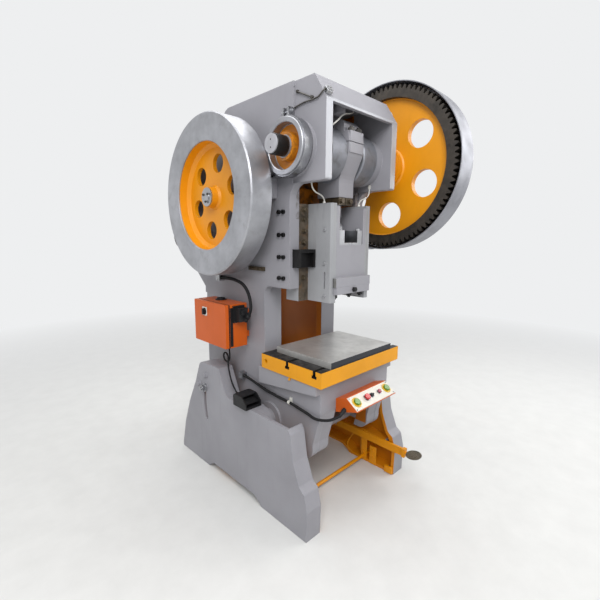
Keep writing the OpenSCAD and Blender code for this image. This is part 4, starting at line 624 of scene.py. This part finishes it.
ABOUT_CRANK, ABOUT_PINION = (0, CRANK_Z), (PINION_Y, PINION_Z)
finishes = {
    "grey": grey_paint("grey_paint", GREY, rough=0.42, stain=0.5, radius=0.004),
    "grey_sheet": grey_paint("grey_sheet", (158, 160, 167), rough=0.36, stain=0.35, radius=0.0015),
    "yellow": finish_from("yellow_paint", yellow_look, peel(0.003), Coat_Weight=0.06, Coat_Roughness=0.22,
                          Specular_IOR_Level=0.3),
    "casting": finish_from("casting_paint", casting_look, peel(0.006), Specular_IOR_Level=0.4),
    "left_leg": finish_from("left_leg_paint", leg_look(-1), peel(0.006), Specular_IOR_Level=0.4),
    "right_leg": finish_from("right_leg_paint", leg_look(1), peel(0.006), Specular_IOR_Level=0.4),
    "bolster": finish_from("bolster_paint", bolster_look, peel(0.004), Specular_IOR_Level=0.3),
    "die_plate": finish_from("ground_plate", die_plate_look, brushed(3, 260, 260)),
    "flywheel": finish_from(
        "turned_flywheel", wheel_look(*ABOUT_PINION, rim_r=0.3335, hub_r=0.058, rim=bright_rim),
        turned(*ABOUT_PINION)),
    "gear": finish_from("gear_iron", wheel_look(*ABOUT_CRANK, rim_r=0.470, hub_r=0.076, rim=greasy_rim),
                        turned(*ABOUT_CRANK, strength=0.1)),
    "drum": finish_from("turned_drum", drum_look, turned(*ABOUT_CRANK)),
    "crank": finish_from("forged_crank", shaft_look, turned(*ABOUT_CRANK, strength=0.1)),
    "band": finish_from("band_steel", lambda n: bare_steel(n, (170, 171, 175), rough=0.3, stain=0.4),
                        turned(*ABOUT_CRANK, strength=0.08)),
    "guard": finish_from("guard_sheet", guard_look, turned(*ABOUT_CRANK, strength=0.06)),
    "key_cap": finish_from("pale_cap", key_cap_look, turned(*ABOUT_CRANK, strength=0.06)),
    "steel": finish_from("steel", lambda n: bare_steel(n, (178, 179, 182), rough=0.32, stain=0.4),
                         brushed(60, 60, 300)),
    "pinion_shaft": finish_from(
        "shaft_steel", lambda n: bare_steel(n, (184, 185, 188), rough=0.28, stain=0.3),
        turned(*ABOUT_PINION)),
    "dark_steel": finish_from("dark_steel", lambda n: greasy(n, (84, 80, 76), rough=0.36),
                              brushed(80, 80, 200)),
    "greasy": finish_from("greasy_steel", lambda n: greasy(n, (96, 84, 66), rough=0.3),
                          brushed(60, 60, 60, strength=0.2)),
    "black_steel": finish_from("black_oxide", black_oxide, brushed(200, 200, 200)),
    "bronze": finish_from("bronze", lambda n: bare_steel(n, (188, 148, 86), rough=0.3, stain=0.5),
                          turned(*ABOUT_CRANK)),
    "ram": finish_from("ram_paint", ram_look, peel(0.004)),
    "guide": finish_from("scraped_guide", guide_look, brushed(220, 220, 8)),
    "orange": finish_from("orange_powder", cabinet_look, peel(0.0025, strength=0.2, scale=500),
                          Specular_IOR_Level=0.3),
    "orange_panel": finish_from("orange_panel_powder", control_panel_look,
                                peel(0.0025, strength=0.2, scale=500), Specular_IOR_Level=0.3),
    "panel_face": finish_from("cream_enamel", panel_face_look, peel(0.001, strength=0.1, scale=500)),
    "black_plastic": plastic("black_plastic", (28, 28, 30), rough=0.42, grain=0.25, Specular_IOR_Level=0.3),
    "rubber": plastic("black_rubber", (22, 22, 24), rough=0.5, grain=0.3, Specular_IOR_Level=0.25),
    "white_plastic": plastic("white_plastic", (216, 215, 208), rough=0.4, grain=0.1),
    "green_button": plastic("green_button", (92, 138, 52), rough=0.24, grain=0.05, Coat_Weight=0.3),
    "red_button": plastic("red_button", (196, 36, 40), rough=0.22, grain=0.05, Coat_Weight=0.3),
    "crimson_button": plastic("crimson_button", (150, 22, 62), rough=0.24, grain=0.05, Coat_Weight=0.3),
}
USES = {
    "grey": ["shaft_covers", "brake_anchor", "motor", "motor_bracket", "clamp_plate", "connecting_rod"],
    "grey_sheet": ["guard_brackets"],
    "yellow": ["tie_bars", "pedal_lever"],
    "casting": ["frame_casting"], "left_leg": ["left_leg"], "right_leg": ["right_leg"],
    "bolster": ["bolster_plate"], "die_plate": ["die_plate"],
    "flywheel": ["flywheel"], "gear": ["large_gear"],
    "drum": ["brake_drum"], "crank": ["crankshaft"], "band": ["brake_band"], "guard": ["gear_guard"],
    "key_cap": ["drum_key_cap"],
    "steel": ["tilt_bolts", "conduit_fitting", "adjusting_screw", "ball_seat"],
    "pinion_shaft": ["pinion_shaft"],
    "dark_steel": ["pinion", "pinion_bearings", "clutch_sleeve", "motor_pulley", "rod_cap_bolts"],
    "greasy": ["screw_clamp", "grease_fitting"],
    "black_steel": ["gib_bolts", "stop_brackets", "clamp_bolts"],
    "bronze": ["crank_bushes"], "ram": ["ram"], "guide": ["left_guide", "right_guide"],
    "orange": ["control_cabinet", "cabinet_door"],
    "orange_panel": ["control_panel"], "panel_face": ["panel_face"],
    "black_plastic": ["foot_switch", "foot_switch_pedal", "isolator_knob", "conduit_socket", "mode_selector"],
    "rubber": ["drive_belts", "cabinet_seal", "conduit", "panel_lead", "foot_switch_lead"],
    "white_plastic": ["lead_clip"], "green_button": ["palm_button_left", "palm_button_right"],
    "red_button": ["stop_button"], "crimson_button": ["inch_button"],
}
for finish, names in USES.items():
    for name in names:
        NODES[name].data.materials.clear()
        NODES[name].data.materials.append(finishes[finish])

# Angle above which the edges of the new pieces stay sharp
SHARP_ANGLE = math.radians(36)


# Mesh pieces
def piece(name, verts, faces, finish, body):
    """New mesh object in the row frame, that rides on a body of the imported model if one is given."""
    mesh = bpy.data.meshes.new(name)
    mesh.from_pydata([tuple(v) for v in verts], [], faces)
    build = bmesh.new()
    build.from_mesh(mesh)
    bmesh.ops.recalc_face_normals(build, faces=build.faces)
    build.to_mesh(mesh)
    build.free()
    for polygon in mesh.polygons:
        polygon.use_smooth = True
    mesh.set_sharp_from_angle(angle=SHARP_ANGLE)
    mesh.materials.append(finishes[finish])
    obj = bpy.data.objects.new(name, mesh)
    bpy.context.scene.collection.objects.link(obj)
    if body is not None:
        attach(obj, body)
    return obj


def fittings(name, finish, body, shapes):
    """Small shapes of one finish on one body, joined into one mesh."""
    verts, faces = [], []
    for more_verts, more_faces in shapes:
        first = len(verts)
        verts += more_verts
        faces += [tuple(first + i for i in face) for face in more_faces]
    piece(name, verts, faces, finish, body)


def swept(path, radii, sides):
    """Rings of a tube along a path, with one radius a ring, and its faces with both ends closed."""
    verts, side_way = [], None
    for i, point in enumerate(path):
        ahead = (path[min(i + 1, len(path) - 1)] - path[max(i - 1, 0)]).normalized()
        if side_way is None:
            side_way = ahead.cross(Vector(UP) if abs(ahead.z) < 0.9 else Vector(BACK))
        side_way = (side_way - ahead * side_way.dot(ahead)).normalized()
        other = side_way.cross(ahead)
        for k in range(sides):
            turn = 2 * math.pi * k / sides
            verts.append(point + radii[i] * (side_way * math.cos(turn) + other * math.sin(turn)))
    last = (len(path) - 1) * sides
    faces = [tuple(range(sides)), tuple(last + k for k in reversed(range(sides)))]
    for one in range(0, last, sides):
        for k in range(sides):
            n = (k + 1) % sides
            faces.append((one + k, one + sides + k, one + sides + n, one + n))
    return verts, faces


def evenly(path, gap):
    """The same path with points a fixed gap apart."""
    result, left = [path[0].copy()], gap
    for a, b in zip(path, path[1:]):
        span = (b - a).length
        done = 0.0
        while span - done >= left:
            done += left
            result.append(a.lerp(b, done / span))
            left = gap
        left -= span - done
    if (result[-1] - path[-1]).length > gap * 0.3:
        result.append(path[-1].copy())
    return result


def ribbed_lead(name, node, route, radius_mm, body, pitch=0.0052):
    """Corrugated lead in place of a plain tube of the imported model.
    Without a body it hangs between base and frame."""
    radius = radius_mm / 1000
    points_per_rib = 4
    fine = evenly(route, pitch / points_per_rib)
    depth = min(0.0012, radius * 0.13)
    turns = [2 * math.pi * i / points_per_rib for i in range(len(fine))]
    radii = [radius - depth * (0.5 - 0.5 * math.cos(turn)) for turn in turns]
    obj = piece(name, *swept(fine, radii, 16), "rubber", body)
    if body is None:
        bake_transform(obj)
    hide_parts(node)


ribbed_lead("ribbed_conduit", "conduit", conduit_route, CONDUIT_R, "frame")
ribbed_lead("ribbed_panel_lead", "panel_lead", panel_lead_route, LEAD_R, "frame")
ribbed_lead("ribbed_foot_lead", "foot_switch_lead", foot_lead_route, FOOT_LEAD_R, None, 0.0044)


# Shapes of the small fittings, each as points and faces in the row frame, from millimetres of the source
def turned_mesh(start, way, profile, sides=24, ring=False):
    """Turned shape. profile is a list of places along the axis with their radius.
    A ring's profile closes on itself, and has a hole in its middle."""
    base, way = at(*start), Vector(way).normalized()
    across = way.orthogonal().normalized()
    up = way.cross(across)
    verts = []
    for along, radius in profile:
        for k in range(sides):
            turn = 2 * math.pi * (k + 0.5) / sides
            verts.append(base + way * (along / 1000)
                         + (across * math.cos(turn) + up * math.sin(turn)) * (radius / 1000))
    last = (len(profile) - 1) * sides
    faces = [] if ring else [tuple(range(sides)), tuple(last + k for k in reversed(range(sides)))]
    for i in range(len(profile) if ring else len(profile) - 1):
        one, two = i * sides, (i + 1) % len(profile) * sides
        for k in range(sides):
            n = (k + 1) % sides
            faces.append((one + k, one + n, two + n, two + k))
    return verts, faces


def block_mesh(low, high, chamfer=1.0, turn=None):
    """Block with chamfered edges between two corners. turn changes each point first."""
    low, high = [min(a, b) for a, b in zip(low, high)], [max(a, b) for a, b in zip(low, high)]
    verts, index = [], {}
    for corner in range(8):
        side = [(corner >> axis) & 1 for axis in range(3)]
        for face_axis in range(3):
            point = [(high[i] if side[i] else low[i]) for i in range(3)]
            for i in range(3):
                if i != face_axis:
                    point[i] += chamfer if not side[i] else -chamfer
            index[corner, face_axis] = len(verts)
            verts.append(at(*(turn(*point) if turn else point)))
    faces = [tuple(index[c, axis] for axis in range(3)) for c in range(8)]
    for axis in range(3):
        one, two = (axis + 1) % 3, (axis + 2) % 3
        for value in (0, 1):
            loop = [(0, 0), (1, 0), (1, 1), (0, 1)]
            faces.append(tuple(index[(value << axis) + (a << one) + (b << two), axis] for a, b in loop))
        for a in (0, 1):
            for b in (0, 1):
                near = (a << one) + (b << two)
                far = near + (1 << axis)
                faces.append((index[near, one], index[far, one], index[far, two], index[near, two]))
    return verts, faces


def tube_mesh(points, radius, sides=10):
    """Bent pipe or hose through points."""
    route = smooth_route(points, 5)
    return swept(route, [radius / 1000] * len(route), sides)


def cap_screw(start, way, d, h):
    """Socket cap screw with a recess in its head."""
    r = d / 2
    profile = [(0, r), (h - 0.08 * d, r), (h, r * 0.86), (h, r * 0.5), (h * 0.45, r * 0.5)]
    return turned_mesh(start, way, profile, 18)


def hex_screw(start, way, d, h):
    """Hexagon head or nut with its corners turned off."""
    r = d / 2
    return turned_mesh(start, way, [(0, r), (h * 0.8, r), (h, r * 0.87)], 6)


def washer(start, way, d, h):
    return turned_mesh(start, way, [(0, d / 2), (h * 0.8, d / 2), (h, d / 2 - 0.5)])


def collar(start, way, outer, inner, h):
    """Flat ring with a rounded outer edge."""
    profile = [(0, inner), (0, outer), (h * 0.7, outer), (h, outer - h * 0.4), (h, inner)]
    return turned_mesh(start, way, profile, 28, ring=True)


def lead_end(route, last, skip):
    """Place in the source, skip millimetres along a lead from one of its ends, and the way it runs there."""
    end, near = (route[-1], route[-4]) if last else (route[0], route[3])
    way = (near - end).normalized()
    return source(end + way * (skip / 1000)), way


def strain_relief(route, last, radius, skip, length):
    """Tapered sleeve round a lead where it leaves its housing, at the first or last point of its route."""
    start, way = lead_end(route, last, skip)
    profile = [(0, radius + 5), (8, radius + 5), (9.5, radius + 3.2), (length - 2, radius + 1),
               (length, radius + 0.3)]
    return turned_mesh(start, way, profile, 20)


def round_about(y, z, radius, count, start_angle):
    """Places in the side view, evenly round a point."""
    turns = [math.radians(360 / count * k + start_angle) for k in range(count)]
    return [(y + radius * math.cos(turn), z + radius * math.sin(turn)) for turn in turns]


# Lubrication pipes on the head's left side, with the block that feeds them
HEAD_PIPE_X, HEAD_PIPE_R = -HEAD_SIDE_X - 8, 4.2
fittings("head_oil_pipes", "dark_steel", "frame", [
    tube_mesh([HEAD_CHAMFER.place(-334, 33, 12), (HEAD_PIPE_X, -202, 2490), (HEAD_PIPE_X, -176, 2474),
               (HEAD_PIPE_X, -150, 2466), (HEAD_PIPE_X, -60, 2464), (HEAD_PIPE_X + 0.5, -10, 2458),
               (HEAD_PIPE_X + 1.5, 22, 2452)], HEAD_PIPE_R),
    hex_screw((HEAD_PIPE_X + 1.5, 20, 2452), FRONT, d=12, h=10),
    hex_screw(HEAD_CHAMFER.place(-336, 33, 12), LEFT, d=14, h=8),
    tube_mesh([(HEAD_PIPE_X + 1, -118, 2478), (HEAD_PIPE_X + 1, -62, 2505.5), (HEAD_PIPE_X + 1, -6, 2533)],
              HEAD_PIPE_R),
    *[hex_screw((0.1 - HEAD_SIDE_X, y, z), LEFT, d=19, h=12) for y, z in ((-118, 2478), (-6, 2533))]])
fittings("oil_distributor", "steel", "frame", [
    block_mesh((-336, 14, -0.2), (-296, 52, 22), 1.5, HEAD_CHAMFER.place),
    *[hex_screw(HEAD_CHAMFER.place(x, up, 21.8), HEAD_CHAMFER.outward, d=13, h=8)
      for x in (-327, -305) for up in (24, 42)]])

# Pale hoses to the crank and to both guides, and the oil pot beside the crank
hoses = [
    tube_mesh([(-240, -117, 2324), (-222, -146, 2350), (-172, -155, 2390), (-120, -138, 2427),
               (-60, -116, 2456), (0, -102, 2474), (44, -94, 2496), (60, -90, 2534), (60, -90, 2566)], 4.5),
    hex_screw((-244, -113.5, 2319.5), (0.32, -0.62, 0.72), d=17, h=12),
    hex_screw((60, -90, 2565), DOWN, d=17, h=12)]
GUIDE_HOSE = [(170, 1941), (172, 1966), (198, 1988), (248, 2004), (276, 2032), (281, 2078)]
GUIDE_HOSE_Y, CLAMP_HALF = -60, 8
for side in SIDES:
    hoses += [
        tube_mesh([(x * side, GUIDE_HOSE_Y, z) for x, z in GUIDE_HOSE], 4),
        hex_screw((170 * side, GUIDE_HOSE_Y, 1941.8), UP, d=16, h=12),
        block_mesh((274 * side, GUIDE_HOSE_Y - CLAMP_HALF, 2064),
                   (285.2 * side, GUIDE_HOSE_Y + CLAMP_HALF, 2090), 1.5)]
fittings("crank_oil_pipe", "white_plastic", "frame", hoses)
POT_X, POT_Y, POT_Z = -85, -90, 2448
fittings("oil_pot", "grey", "frame", [
    turned_mesh((POT_X, POT_Y, POT_Z), UP, [(0, 30), (5, 37), (58, 37), (63, 34), (66, 12), (118, 10)], 32),
    turned_mesh((POT_X, POT_Y, POT_Z + 34), UP, [(0, 36), (0, 38.4), (6, 38.4), (6, 36)], 32, ring=True)])

# Screws that stand on the flanges of the guides, and a plug between them
FLANGE_X, FLANGE_Y = 232, 51.1
flange_screws = []
for side in SIDES:
    for z in (1493, 1712, 1852, 1908):
        flange_screws += [washer((FLANGE_X * side, FLANGE_Y, z), FRONT, d=36, h=4),
                          hex_screw((FLANGE_X * side, FLANGE_Y - 3.9, z), FRONT, d=27, h=17)]
    flange_screws.append(turned_mesh((FLANGE_X * side, FLANGE_Y, 1780), FRONT,
                                     [(0, 15), (6, 15), (6, 9), (24, 9), (25, 7)], 20))
fittings("guide_flange_screws", "greasy", "frame", flange_screws)

# Hand panel: screws of its plate and bezels of its small controls
PLATE_OUT = 2.9
fittings("panel_screws", "steel", "frame", [
    *[cap_screw(PANEL.place(x, up, PLATE_OUT), PANEL.outward, d=9, h=4)
      for x in (-194, 194) for up in (14, 94)],
    *[collar(PANEL.place(x, BUTTON_UP, PLATE_OUT), PANEL.outward, outer, inner=10.5, h=2)
      for x, outer in ((-56, 23.5), (77, 17.5), (-4, 17))]])

# Cabinet: black rubber strip beside its door, which also stands in for the shade of the door gap, plate under
# its knob and screws
# The dark strip is partly a rubber strip and partly a painted shadow of the gap beside the door
fittings("cabinet_strip_and_gap_shade", "rubber", "frame", [
    block_mesh((0.4 - CABINET_OUT_X, CABINET_Y - 2.2, CABINET_LOW + 10),
               (22 - CABINET_OUT_X, CABINET_Y + 0.2, CABINET_LOW + 272), 0.6)])
PLATE_HALF, KNOB_SCREW = 30, 26
fittings("knob_plate", "white_plastic", "door", [
    block_mesh((-DOOR_OUT_X - 2, KNOB_Y - PLATE_HALF, KNOB_Z - PLATE_HALF),
               (-DOOR_OUT_X + 0.2, KNOB_Y + PLATE_HALF, KNOB_Z + PLATE_HALF), 0.7)])
fittings("door_screws", "steel", "door", [
    cap_screw((-DOOR_OUT_X - 1.9, KNOB_Y + KNOB_SCREW * j, KNOB_Z + KNOB_SCREW * k), LEFT, d=5, h=1.6)
    for k in SIDES for j in SIDES])

# Sleeves and glands where the leads leave their housings
fittings("lead_sleeves", "black_plastic", "frame", [
    strain_relief(panel_lead_route, True, LEAD_R, skip=20, length=40),
    strain_relief(panel_lead_route, False, LEAD_R, skip=0, length=36),
    strain_relief(foot_lead_route, False, FOOT_LEAD_R, skip=2, length=30)])
fittings("switch_sleeve", "black_plastic", "base", [
    strain_relief(foot_lead_route, True, FOOT_LEAD_R, skip=0, length=30)])
glands = []
for last, skip in ((False, 0), (True, 19)):
    start, way = lead_end(conduit_route, last, skip)
    glands += [hex_screw(start, way, d=36, h=12),
               turned_mesh(start, way, [(0, 14.5), (18, 14.5), (20, 12.4)])]
fittings("conduit_glands", "black_plastic", "frame", glands)

# Bolts of the gear's hub, and screws in the end of the flywheel shaft
hub_bolts = []
for y, z in round_about(0, CRANK_Z, 104, 6, 10):
    hub_bolts += [washer((GEAR_END_X - 0.2, y, z), RIGHT, d=36, h=3),
                  hex_screw((GEAR_END_X + 2.6, y, z), RIGHT, d=29, h=14)]
fittings("gear_hub_bolts", "dark_steel", "gear", hub_bolts)
shaft_end = source(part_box("pinion_shaft")[0])[0]
fittings("shaft_end_screws", "dark_steel", "flywheel_set", [
    cap_screw((shaft_end + 0.2, y, z), LEFT, d=15, h=7)
    for y, z in round_about(PINION_Y, PINION_Z, 30, 3, 30)])

# Yellow stops and a bent bar low on the inner side of the right leg
STOP_X, LEG_WALL_X = LEG_IN_X - 8.5, LEG_IN_X + 0.2
fittings("leg_inner_stops", "yellow", "base", [
    block_mesh((STOP_X, -36, 6), (LEG_WALL_X, 16, 262), 2),
    block_mesh((STOP_X, -124, 6), (LEG_WALL_X, -64, 150), 2),
    block_mesh((LEG_IN_X - 20, -270, 6), (LEG_WALL_X, -206, 56), 2.5),
    *[hex_screw((STOP_X + 0.2, y, z), LEFT, d=22, h=6) for y, z in ((-94, 120), (-94, 60), (-10, 80))],
    tube_mesh([(398, 12, 244), (398, 60, 222), (398, 105, 172), (398, 144, 108), (398, 152, 68),
               (398, 130, 34), (398, 66, 16), (398, 6, 20)], 4.8, 12)])

# Foot plate of the pedal lever, and the neck that carries it
PAD_X, PAD_Y, PAD_LOW = 380, -442, 238
PAD_HALF_W, PAD_HALF_D, PAD_T = 62, 52, 7


def pad_oval():
    """Oval plate with a rounded edge."""
    edge = [(0, PAD_HALF_D - 2), (PAD_T * 0.4, PAD_HALF_D), (PAD_T * 0.8, PAD_HALF_D),
            (PAD_T, PAD_HALF_D - 1.2)]
    verts, faces = turned_mesh((PAD_X, PAD_Y, PAD_LOW), UP, edge, 40)
    middle = at(PAD_X, 0, 0).x
    for v in verts:
        v.x = middle + (v.x - middle) * PAD_HALF_W / PAD_HALF_D
    return verts, faces


def pad_rib(dy):
    """Raised rib across the foot plate, dy from its middle."""
    reach = (PAD_HALF_W - 8) * math.sqrt(1 - (dy / PAD_HALF_D) ** 2) - 2
    top = PAD_LOW + PAD_T
    low = (PAD_X - reach, PAD_Y + dy - 2.4, top - 0.5)
    return block_mesh(low, (PAD_X + reach, PAD_Y + dy + 2.4, top + 2.2), 0.8)


fittings("pedal_pad", "greasy", "treadle", [pad_oval(), *[pad_rib(12 * k) for k in range(-3, 4)]])
fittings("pedal_neck", "yellow", "treadle", [
    block_mesh((PAD_X - 7, PAD_Y - 20, PAD_LOW - 12), (PAD_X + 15, PAD_Y + 44, PAD_LOW + 0.4), 2.5)])

# Terminal box of the motor: lid screws, gland and a blank plate
BOX_SIDE_X, GLAND_Z = -262, 1905
fittings("motor_box_trim", "steel", "frame", [
    *[cap_screw((x, MOTOR_Y + 50 * k, 1933.9), UP, d=9, h=5) for x in (-252, -172) for k in SIDES],
    hex_screw((BOX_SIDE_X + 0.1, MOTOR_Y, GLAND_Z), LEFT, d=30, h=10),
    turned_mesh((BOX_SIDE_X - 9.5, MOTOR_Y, GLAND_Z), LEFT, [(0, 12), (10, 12), (12, 9)], 20),
    block_mesh((-240, 1154.2, 1886), (-186, 1155.2, 1922), 0.3)])

# Floor, backdrop and light
BACKDROP = linear(238, 239, 240)
FLOOR_HALF = 30
FADE_START, FADE_END = 2.2, 7.0


def add_floor():
    """Pale floor that fades into the backdrop's colour away from the press."""
    mesh = bpy.data.meshes.new("floor")
    corners = [(-FLOOR_HALF, -FLOOR_HALF, 0), (FLOOR_HALF, -FLOOR_HALF, 0), (FLOOR_HALF, FLOOR_HALF, 0),
               (-FLOOR_HALF, FLOOR_HALF, 0)]
    mesh.from_pydata(corners, [], [(0, 1, 2, 3)])
    floor = bpy.data.objects.new("floor", mesh)
    bpy.context.scene.collection.objects.link(floor)
    material, n, shader = new_material("floor_paint", Roughness=0.8)
    grain = n.level(n.noise(6, 5, 0.6), 0.3, 0.7)
    n.give(shader, "Base Color", n.mix(grain, linear(216, 216, 214), linear(210, 210, 208)))
    away = n.put("ShaderNodeVectorMath", {0: n.where}, operation="LENGTH").outputs["Value"]
    pale = n.put("ShaderNodeEmission", {"Color": BACKDROP, "Strength": 1.0})
    join = n.put("ShaderNodeMixShader", {
        0: n.level(away, FADE_START, FADE_END), 1: shader.outputs[0], 2: pale.outputs[0]})
    n.give(n.tree.nodes["Material Output"], "Surface", join.outputs[0])
    floor.data.materials.append(material)


def add_light(name, place, aim, size, power):
    data = bpy.data.lights.new(name, "AREA")
    data.shape = "RECTANGLE"
    data.size, data.size_y = size, size
    data.energy = power
    lamp = bpy.data.objects.new(name, data)
    lamp.location = place
    lamp.rotation_euler = (Vector(aim) - Vector(place)).to_track_quat("-Z", "Y").to_euler()
    bpy.context.scene.collection.objects.link(lamp)


def add_world():
    """Even pale light, whiter above, and a plain pale background for the camera and for reflections."""
    world = bpy.data.worlds.new("studio")
    bpy.context.scene.world = world
    world.use_nodes = True
    n = Nodes(world.node_tree)
    height = n.level(n.axes(n.generated)[2], -0.1, 0.7)
    back = n.tree.nodes["Background"]
    n.give(back, "Color", n.mix(height, linear(196, 198, 202), linear(250, 251, 252)))
    n.give(back, "Strength", 0.62)
    seen = n.put("ShaderNodeBackground", {"Color": BACKDROP, "Strength": 1.0})
    rays = n.put("ShaderNodeLightPath").outputs
    join = n.put("ShaderNodeMixShader", {
        0: n.either(rays["Is Camera Ray"], rays["Is Glossy Ray"]), 1: back.outputs[0], 2: seen.outputs[0]})
    n.give(n.tree.nodes["World Output"], "Surface", join.outputs[0])


add_floor()
add_world()
add_light("key", place=(-3.2, -3.4, 4.6), aim=(0, 0, 1.3), size=3.0, power=210)
add_light("fill", place=(3.8, -2.6, 3.4), aim=(0, 0, 1.2), size=3.0, power=90)
add_light("top", place=(0, 0.6, 5.6), aim=(0, 0.3, 0), size=4.0, power=150)
bpy.context.scene.view_settings.view_transform = "Standard"
